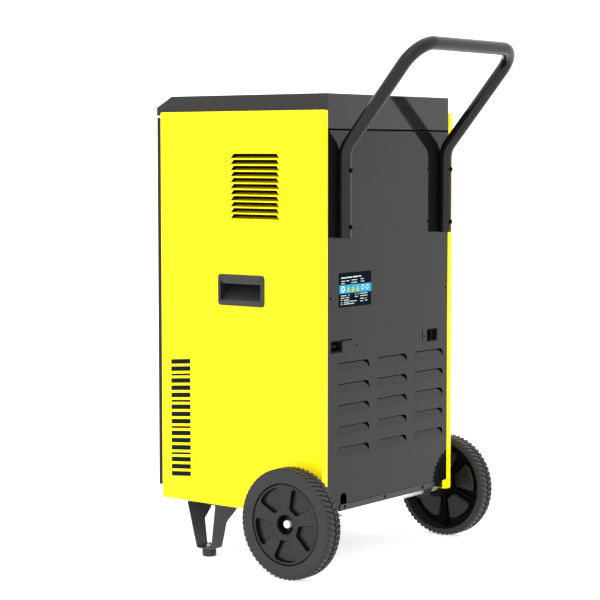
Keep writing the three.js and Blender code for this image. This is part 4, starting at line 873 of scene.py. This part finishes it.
# ------------------------------------------------------------------ front feet
def foot(side):
    s = "right" if side > 0 else "left"
    mir = (lambda v: v) if side > 0 else (lambda v: (-v[0], v[1], v[2]))
    p = Part("foot_bracket_%s_strip" % s)
    # centre line of the folded strip in (y, z), half width table against z in x
    line = [(-84.5, 104.0), (-66.5, 104.0), (-65.0, 103.2), (-64.6, 101.5), (-74.6, 19.5), (-75.3, 17.6), (-77.0, 16.6), (-109.0, 16.6), (-110.9, 17.4), (-111.8, 19.4), (-134.2, 101.5), (-134.0, 103.3), (-132.4, 104.0), (-116.5, 104.0)]
    pts = [Vector(q) for q in line]
    fine = []
    for a, b in zip(pts, pts[1:]):
        k = max(1, int((b - a).length / 6))
        fine += [a.lerp(b, i / k) for i in range(k)]
    fine.append(pts[-1])
    T = 1.25

    def xr(z):
        lo = 180 - (180 - 171.5) * min(max((z - 16) / 50, 0), 1)
        if z > 66: lo = 171.5 - (171.5 - 144) * min((z - 66) / 20, 1)
        return lo, 210.0
    vs, fs, nw = [], [], 5
    m = len(fine)
    for i, q in enumerate(fine):
        a, b = fine[max(i - 1, 0)], fine[min(i + 1, m - 1)]
        d = (b - a).normalized(); nn = Vector((-d.y, d.x))
        lo, hi = xr(q.y)
        for sgn in (1, -1):
            for k in range(nw + 1):
                e = (0.0, 0.012, 0.3, 0.7, 0.988, 1.0)[k]
                x = lo + (hi - lo) * e
                tt = T if 0 < k < nw else T - 0.35
                vs.append((x, q.x + nn.x * tt * sgn, q.y + nn.y * tt * sgn))
    w = 2 * (nw + 1)
    for i in range(m - 1):
        a, b = i * w, (i + 1) * w
        for k in range(nw):
            fs.append((a + k, a + k + 1, b + k + 1, b + k))
            fs.append((a + nw + 2 + k, a + nw + 1 + k, b + nw + 1 + k, b + nw + 2 + k))
        fs.append((a, b, b + nw + 1, a + nw + 1))
        fs.append((a + nw, a + 2 * nw + 1, b + 2 * nw + 1, b + nw))
    for i in (0, m - 1):
        a = i * w
        for k in range(nw): fs.append((a + k, a + k + nw + 1, a + k + nw + 2, a + k + 1))
    p.add(vs, fs, 0, mir)
    # the brackets take the lighter copy of the frame paint: painted light
    p.build([FOOT_LIT_PAINT], "root", ["foot_bracket_" + s], "frame_paint", sharp=40)
    r = Part("rubber_foot_%s_pad" % s)
    prof = [(0, 0.4), (8.5, 0.4), (9.2, 0.0), (11.4, 0.0), (12.4, 0.5), (13.3, 1.8), (13.5, 3.4), (13.35, 8), (13.2, 12.6), (12.7, 14.2), (11.6, 14.95), (9.5, 15.0), (9.0, 14.3), (5.0, 14.3), (4.6, 14.9), (4.45, 14.3), (4.45, 5.2), (0, 5.0)]
    r.revolve(prof, "Z", (195 * side, -93, 0), 40, 0)
    for k in range(24):      # grip flutes
        a = 2 * PI * k / 24
        cx, cy = 195 * side + 13.15 * math.cos(a), -93 + 13.15 * math.sin(a)
        r.revolve([(0, 3.0), (0.32, 3.3), (0.42, 5), (0.42, 11), (0.3, 12.6), (0, 12.9)], "Z", (cx * 1.0 - 0.12 * math.cos(a), cy - 0.12 * math.sin(a), 0), 8, 0)
    r.build([FOOTR], "root", ["rubber_foot_" + s], "foot_rubber", sharp=45)
    b = Part("foot_bolt_%s_hex" % s)
    cx = 195 * side
    hexo = fillet([(cx + 7.4 * math.cos(PI / 3 * k), -93 + 7.4 * math.sin(PI / 3 * k)) for k in range(6)], 0.5, 2)
    b.plate(hexo, [], 18.9, 23.6, AZ, rf=0.7, rb=0.7, n=3)
    b.revolve([(4.2, 18.15), (9.4, 18.15), (9.6, 18.35), (9.6, 18.75), (9.4, 18.95), (4.2, 18.95)], "Z", (cx, -93, 0), 36, 0, closed=True)
    prof = [(0, 5.4), (3.4, 5.4), (3.9, 6.0)]
    z = 6.0
    while z < 24.4:
        prof += [(4.0, z + 0.3), (3.62, z + 0.95)]
        z += 1.3
    prof += [(3.9, 25.0), (3.2, 25.9), (0, 25.9)]
    b.revolve(prof, "Z", (cx, -93, 0), 20, 0)
    b.build([BOLTZ], "root", ["foot_bolt_" + s], "bright_steel", sharp=40)


foot(1)
foot(-1)

# ------------------------------------------------------------------ axle, brackets, split pins
WY, WZ, WR = 153.5, 102.5, 102.5
ax = Part("axle_rod")
ax.revolve([(7.5, -240.0), (7.5, 240.0)], "X", (0, WY, WZ), 48, 0)
for e in (1, -1):     # turned ends
    ax.revolve([(7.5, e * 240.0), (7.5, e * 265.4), (7.2, e * 266.9), (6.2, e * 267.7), (3.2, e * 267.9), (0, e * 267.9)][::e], "X", (0, WY, WZ), 48, 1)
ax.build([BRIGHT, AXLEEND], "root", ["axle"], "bright_steel", sharp=45)
for s, nm in ((1, "right"), (-1, "left")):
    sp = Part("split_pin_%s_wire" % nm)
    x = 262.5 * s
    pth = [(x, WY - 0.2, WZ - 12.6), (x, WY, WZ - 8), (x, WY, WZ + 8.6)]
    for k in range(13):
        a = -PI / 2 + 2 * PI * k / 12 * 0.92
        pth.append((x, WY + 2.1 * math.cos(a), WZ + 11.0 + 1.7 * math.sin(a)))
    sp.sweep(pth, ring(0, 0, 0.75, 10), 0)
    sp.sweep([(x + 0.0, WY + 1.1, WZ - 12.3), (x, WY + 0.85, WZ - 8.5), (x, WY + 0.8, WZ + 8.8)], ring(0, 0, 0.7, 10), 0)
    sp.build([SPRINGS], "root", ["split_pin_" + nm], "bright_steel", sharp=50)
    ab = Part("axle_bracket_%s_plate" % nm)
    lo, hi = sorted((166.0 * s, 169.0 * s))
    out = fillet([(122, 112.9), (133, 96), (145, 87), (162, 87), (174, 96), (181.5, 112.9), (181.5, 114.6), (122, 114.6)], [0.5, 3, 6, 6, 3, 0.5, 0.3, 0.3], 4)
    ab.plate(out, [ring(WY, WZ, 7.8, 32)], lo, hi, AX, rf=0.4, rb=0.4, n=2)
    a, b = sorted((154.0 * s, 168.0 * s))
    ab.bar(a, b, 122, 181.5, 112.7, 114.7, 0.7, 0, "Y")
    ab.revolve([(7.8, lo - 3.2), (11.4, lo - 3.2), (11.9, lo - 2.7), (11.9, lo + 0.5), (7.8, lo + 0.5)], "X", (0, WY, WZ), 36, 0, closed=True)
    ab.build([FRAMEP], "root", ["axle_bracket_" + nm], "frame_paint", sharp=36)


# ------------------------------------------------------------------ wheels
def pocket_loop(mid, grow=0.0):
    def at(r, d): a = math.radians(mid + d); return (WY + r * math.cos(a), WZ + r * math.sin(a))
    g = grow
    pts = [at(31 - g, -18 - g * 0.9), at(66 + g, -22.5 - g * 0.7)] + [at(68.8 + g, d) for d in (-17, -8.5, 0, 8.5, 17)] + [at(66 + g, 22.5 + g * 0.7), at(31 - g, 18 + g * 0.9), at(29.6 - g, 0)]
    return fillet(pts, [5, 6, 8, 14, 14, 14, 8, 6, 5, 9], 4)


def wheel(side):
    s = "right" if side > 0 else "left"
    xf = AX if side > 0 else MX
    body = "wheel_" + s
    turn = 0 if side > 0 else 36
    sg = side
    F = 271.5
    p = Part("wheel_rim_%s_disc" % s)
    # front disc with its five bowls and the hub recess, their walls in the darker wheel plastic as painted shade; the
    # back of the disc is closed by the flange below
    outer = [(1.3, F), (0.6, F - 0.15), (0.15, F - 0.6), (0.0, F - 1.3), (0.0, 264.4), (0.3, 264.0)]
    pk = [(0.9, F), (0.35, F - 0.15), (0.05, F - 0.6), (0.0, F - 1.3), (-0.5, F - 8.0), (-1.2, F - 11.6), (-2.6, F - 13.4), (-5.0, F - 14.0)]
    hub = [(1.2, F), (0.45, F - 0.15), (0.05, F - 0.7), (0.0, F - 1.5), (-0.3, F - 6.8), (-0.3, 264.0)]
    loops = [(ring(WY, WZ, 73.5, 96), outer, "open")]
    for i in range(5): loops.append((pocket_loop(-90 + turn + 72 * i), pk, "cap"))
    loops.append((ring(WY, WZ, 17.4, 40), hub, "open"))
    p.relief(loops, xf, 0, 1)
    for i in range(5):      # dished floors of the bowls, in the lighter wheel plastic: painted light
        p.plate(inset(pocket_loop(-90 + turn + 72 * i), 3.4), [], F - 14.6, F - 12.6, xf, rf=1.4, rb=0.2, n=4, mat=2)
    # raised rings round the hub recess
    p.revolve([(19.6, sg * (F - 0.4)), (20.0, sg * (F + 0.45)), (22.4, sg * (F + 0.45)), (22.8, sg * (F - 0.4))], "X", (0, WY, WZ), 64, 0, closed=True)
    # flange and back of the disc, in the darker wheel plastic: painted shade
    p.plate(ring(WY, WZ, 85.6, 96), [pocket_loop(-90 + turn + 72 * i, 1.6) for i in range(5)] + [ring(WY, WZ, 17.1, 40)], 261.6, 264.45, xf, rf=0.5, rb=0.3, n=2, mat=1, rh=0.05)
    # hub drawn out towards the case, in the darker wheel plastic: painted shade
    p.revolve([(7.9, sg * 215.4), (18.8, sg * 215.4), (19.8, sg * 216.2), (20.4, sg * 238), (21.2, sg * 253), (23.5, sg * 259), (28, sg * 262), (28, sg * 262.8), (17.3, sg * 262.8), (17.2, sg * 258.2), (16.4, sg * 257.8), (8.6, sg * 257.8), (7.9, sg * 257.2)], "X", (0, WY, WZ), 64, 1, closed=True)
    # bowls standing out behind the disc
    for i in range(5):
        lp = pocket_loop(-90 + turn + 72 * i, 2.8)
        p.relief([(lp, [(3.6, 250.0), (1.8, 250.25), (0.7, 250.9), (0.15, 252.0), (0.0, 253.4), (0.0, 262.4)], "cap")], lambda v, _x=xf: _x((v[0], v[1], v[2])), 0)
    # thin ribs along the channels between the bowls, in the darker wheel plastic: painted shade
    for i in range(5):
        mid = math.radians(-90 + turn + 36 + 72 * i)
        c, sn = math.cos(mid), math.sin(mid)
        vs, fs = [], []
        for r, h in ((20.0, 1.3), (30, 1.0), (60, 1.0), (80, 1.1), (86.8, 1.6)):
            for q, xx in ((-h, 253.2), (-h + 0.4, 252.7), (h - 0.4, 252.7), (h, 253.2), (h + 0.2, 262.5), (-h - 0.2, 262.5)):
                vs.append((sg * xx, WY + r * c - q * sn, WZ + r * sn + q * c))
        k = 6
        for a in range(4):
            for b in range(k): fs.append((a * k + b, a * k + (b + 1) % k, (a + 1) * k + (b + 1) % k, (a + 1) * k + b))
        fs += [tuple(range(k)), tuple(range(len(vs) - 1, len(vs) - k - 1, -1))]
        p.add(vs, fs, 1)
    p.build([WHEELP, RIM_SHADE_PLASTIC, BOWL_LIGHT_PLASTIC], body, ["wheel_rim_" + s], "black_plastic", sharp=33)

    # tyre: carcass and slanted lugs
    q = Part("tyre_%s_tread" % s)
    a, b = sg * 236.0, sg * 273.7
    def X(u): return a + (b - a) * u
    prof = [(88.9, X(0.012)), (89.6, X(0.0)), (92, X(0.004)), (95.6, X(0.012)), (98.0, X(0.035)), (99.4, X(0.085)), (99.7, X(0.14)), (99.9, X(0.5)),
            (99.7, X(0.86)), (99.4, X(0.915)), (98.0, X(0.965)), (95.6, X(0.985)), (92, X(0.989)), (81, X(0.984)), (77.5, X(0.996)), (76.0, X(0.985)), (75.3, X(0.95)), (75.3, X(0.765)),
            (86.5, X(0.765)), (88.5, X(0.69)), (88.6, X(0.04))]
    q.revolve(prof, "X", (0, WY, WZ), 144, 0, closed=True)
    NL = 60
    pitch = 2 * PI / NL
    for i in range(NL):
        th = pitch * i
        for row in (0, 1):
            off = th + (0.5 * pitch if row else 0)
            # lug outline in (u across, angle): from the shoulder slanting to the middle
            if row == 0: us, sl = (0.985, 0.90, 0.56), 1.0
            else: us, sl = (0.015, 0.10, 0.44), -1.0
            half0, half1 = 0.37 * pitch, 0.375 * pitch
            slant = 0.72 * pitch
            vs, fs = [], []
            for j, (u, rr) in enumerate(((us[0], 97.9), (us[1], 102.0), (us[2], 102.38))):
                k = abs(u - us[0]) / abs(us[2] - us[0])
                cen = off - slant * k
                for hw, dr in ((half0, 0.0), (half1 * 0.82, 1.0)):
                    r = (rr if dr else (96.8 if j == 0 else 99.2))
                    for sg2 in (-1, 1):
                        ang = cen + sg2 * hw
                        vs.append((X(u), WY + r * math.cos(ang), WZ + r * math.sin(ang)))
            # vertex order per section: bottom -, bottom +, top -, top +
            for j in range(2):
                A, B = 4 * j, 4 * j + 4
                fs += [(A + 2, A + 3, B + 3, B + 2), (A, A + 2, B + 2, B), (A + 3, A + 1, B + 1, B + 3), (A + 1, A, B, B + 1)]
            fs += [(0, 1, 3, 2), (8, 10, 11, 9)]
            q.add(vs, fs, 0)
    q.build([TYREP], body, ["tyre_" + s], "tyre_rubber", sharp=28)


wheel(1)
wheel(-1)

# ------------------------------------------------------------------ push handle
def rounded_path(points, radii, pieces):
    v = [Vector(p) for p in points]
    out = [v[0]]
    for i in range(1, len(v) - 1):
        a, b = (v[i - 1] - v[i]).normalized(), (v[i + 1] - v[i]).normalized()
        half = a.angle(b) / 2
        r = radii[i - 1]
        tt = r / math.tan(half)
        c = v[i] + (a + b).normalized() * (r / math.sin(half))
        c0, c1 = v[i] + a * tt - c, v[i] + b * tt - c
        sweep = c0.angle(c1)
        axis = c0.cross(c1).normalized()
        for k in range(pieces + 1):
            out.append(c + Matrix.Rotation(sweep * k / pieces, 3, axis) @ c0)
    out.append(v[-1])
    return out


XR, XL, LY = 162.0, -168.0, 206.6
hpth = rounded_path([(XR, LY, 620.2), (XR, LY, 780.4), (XR, 366.2, 969.3), (XL, 366.2, 969.3), (XL, LY, 780.4), (XL, LY, 620.2)], [45, 50, 50, 45], 14)
ph = Part("push_handle_tube")
ph.sweep(hpth, ring(0, 0, 12.45, 40), 0)
for x in (XR, XL):       # plugs in the tube ends
    ph.revolve([(0, 619.9), (9.8, 619.9), (11.2, 620.05), (12.0, 620.5), (12.3, 621.2), (12.3, 622.6), (0, 622.6)], "Z", (x, LY, 0), 40, 1)
ph.build([TUBEP, PLASTIC], "root", ["push_handle"], "frame_paint", sharp=45)
for nm, x, z in (("right_lower", XR, 640.2), ("right_upper", XR, 742.7), ("left_lower", XL, 640.2), ("left_upper", XL, 742.7)):
    p = Part("handle_screw_%s_head" % nm)
    yb = LY + 12.5
    # button head with a hexagon socket
    hexl = [(x + 1.75 * math.cos(PI / 3 * k), z + 1.75 * math.sin(PI / 3 * k)) for k in range(6)]
    p.relief([(ring(x, z, 4.4, 30), [(1.4, yb + 2.7), (0.7, yb + 2.4), (0.25, yb + 1.8), (0.0, yb + 1.0), (0.0, yb + 0.3), (0.3, yb + 0.05), (1.3, yb + 0.0), (1.4, yb - 6)], "cap"),
              (hexl, [(0.1, yb + 2.7), (0.0, yb + 2.5), (0.0, yb + 0.9)], "cap")], AY)
    p.revolve([(0, 187.0), (2.4, 187.0), (2.95, 187.8), (2.95, yb - 5), (0, yb - 5)], "Y", (x, 0, z), 24, 0)
    p.build([SCREWM], "root", ["handle_screw_" + nm], "screw_steel", sharp=40)

# ------------------------------------------------------------------ side graphic: plain bars, no lettering
def graphic(side):
    xf = AX if side > 0 else MX
    p = Part("side_stripes_%s" % ("right" if side > 0 else "left"))
    w0, w1 = SIDE_X + 0.02, SIDE_X + 0.16
    y0, y1 = -172.5, -123.5
    z = 150.0
    zz = z
    for h in (9, 9, 9, 4, 9, 9, 9, 4, 9, 9, 9, 4, 9, 9, 9, 4, 9, 9):      # slanted bars, thick and thin
        p.plate(fillet([(y0, zz), (y1, zz + 4), (y1, zz + 4 + h), (y0, zz + h)], 1.2, 3), [], w0, w1, xf, rf=0.03, rb=0.0, n=1)
        zz += h + 5.0
    p.build([NAVY], "root", (), None, sharp=40)


graphic(1)
graphic(-1)

# ------------------------------------------------------------------ inner pieces carried over from the CAD
# the fin banks' dark bands are painted shade between the fins
paint("evaporator", FINS_GAP_SHADE, 0.0)
paint("condenser", FINS_GAP_SHADE, 0.0)
paint("drip_tray", WHITEP, 0.5)
paint("mid_deck", GALV, 0.3)
paint("lower_bulkhead", GALV, 0.3)
paint("fan_bulkhead", GALV, 0.3)
paint("fan_blades", PLASTIC, 0.6)
paint("motor_shaft", BRIGHT, 0.4)
paint("fan_motor", MOTORM, 0.8)
paint("motor_bracket", GALV, 0.5)
paint("compressor", ENAMEL, 1.2)
paint("suction_pipe", COPPER, 0.0)
paint("discharge_pipe", COPPER, 0.0)
paint("control_box", WHITEP, 0.8)
paint("control_board", BOARD, 0.3)

# ------------------------------------------------------------------ stage, light and camera
def stage_floor():
    me = bpy.data.meshes.new("floor")
    n, R = 96, 60.0
    vs = [(0, 0, 0)] + [(R * math.cos(2 * PI * k / n), R * math.sin(2 * PI * k / n), 0) for k in range(n)]
    me.from_pydata(vs, [], [(0, k + 1, (k + 1) % n + 1) for k in range(n)])
    ob = bpy.data.objects.new("floor", me)
    bpy.context.scene.collection.objects.link(ob)
    m, nt, b = _mat("pale_floor")
    no = nt.nodes.new("ShaderNodeTexNoise"); no.inputs["Scale"].default_value = 3.0
    mx = nt.nodes.new("ShaderNodeMix"); mx.data_type = "RGBA"
    mx.inputs[6].default_value = (0.63, 0.63, 0.63, 1); mx.inputs[7].default_value = (0.65, 0.65, 0.65, 1)
    nt.links.new(no.outputs[0], mx.inputs[0]); nt.links.new(mx.outputs[2], b.inputs["Base Color"])
    b.inputs["Roughness"].default_value = 0.9
    b.inputs["Specular IOR Level"].default_value = 0.0
    b.inputs["Emission Color"].default_value = (1, 1, 1, 1)
    b.inputs["Emission Strength"].default_value = 0.66
    me.materials.append(m)
    return ob


stage_floor()
world = bpy.data.worlds.new("studio")
world.use_nodes = True
bg = next(n for n in world.node_tree.nodes if n.type == "BACKGROUND")
bg.inputs[0].default_value = (1.0, 1.0, 1.0, 1.0)
bg.inputs[1].default_value = 1.7
bpy.context.scene.world = world


def softbox(name, loc, target, size, power):
    d = bpy.data.lights.new(name, "AREA")
    d.shape, d.size, d.size_y, d.energy = "RECTANGLE", size[0], size[1], power
    o = bpy.data.objects.new(name, d)
    o.location = loc
    o.rotation_euler = (Vector(target) - Vector(loc)).to_track_quat("-Z", "Y").to_euler()
    bpy.context.scene.collection.objects.link(o)
    return o


softbox("key_softbox", (3.2, 0.4, 2.6), (0, 0, 0.5), (2.4, 2.4), 20)
softbox("top_softbox", (0.2, 0.2, 3.4), (0, 0, 0.4), (3.0, 3.0), 20)

cam_data = bpy.data.cameras.new("camera")
cam = bpy.data.objects.new("camera", cam_data)
bpy.context.scene.collection.objects.link(cam)
az, el = math.radians(127.591), math.radians(4.444)
back = Vector((math.sin(az) * math.cos(el), -math.cos(az) * math.cos(el), math.sin(el)))
cam.location = (2.89495, (2223.62 - CY) / 1000.0, 0.7766)
cam.rotation_mode = "QUATERNION"
cam.rotation_quaternion = (-back).to_track_quat("-Z", "Y")
cam_data.sensor_width = 36.0
cam_data.lens = 112.013
cam_data.shift_x = -(307.12 - 300.0) / 600.0
cam_data.shift_y = (296.85 - 300.0) / 600.0
cam_data.clip_start, cam_data.clip_end = 0.05, 400.0
bpy.context.scene.camera = cam
vs = bpy.context.scene.view_settings
vs.view_transform = "Standard"
vs.look = "None"

bpy.context.view_layer.update()
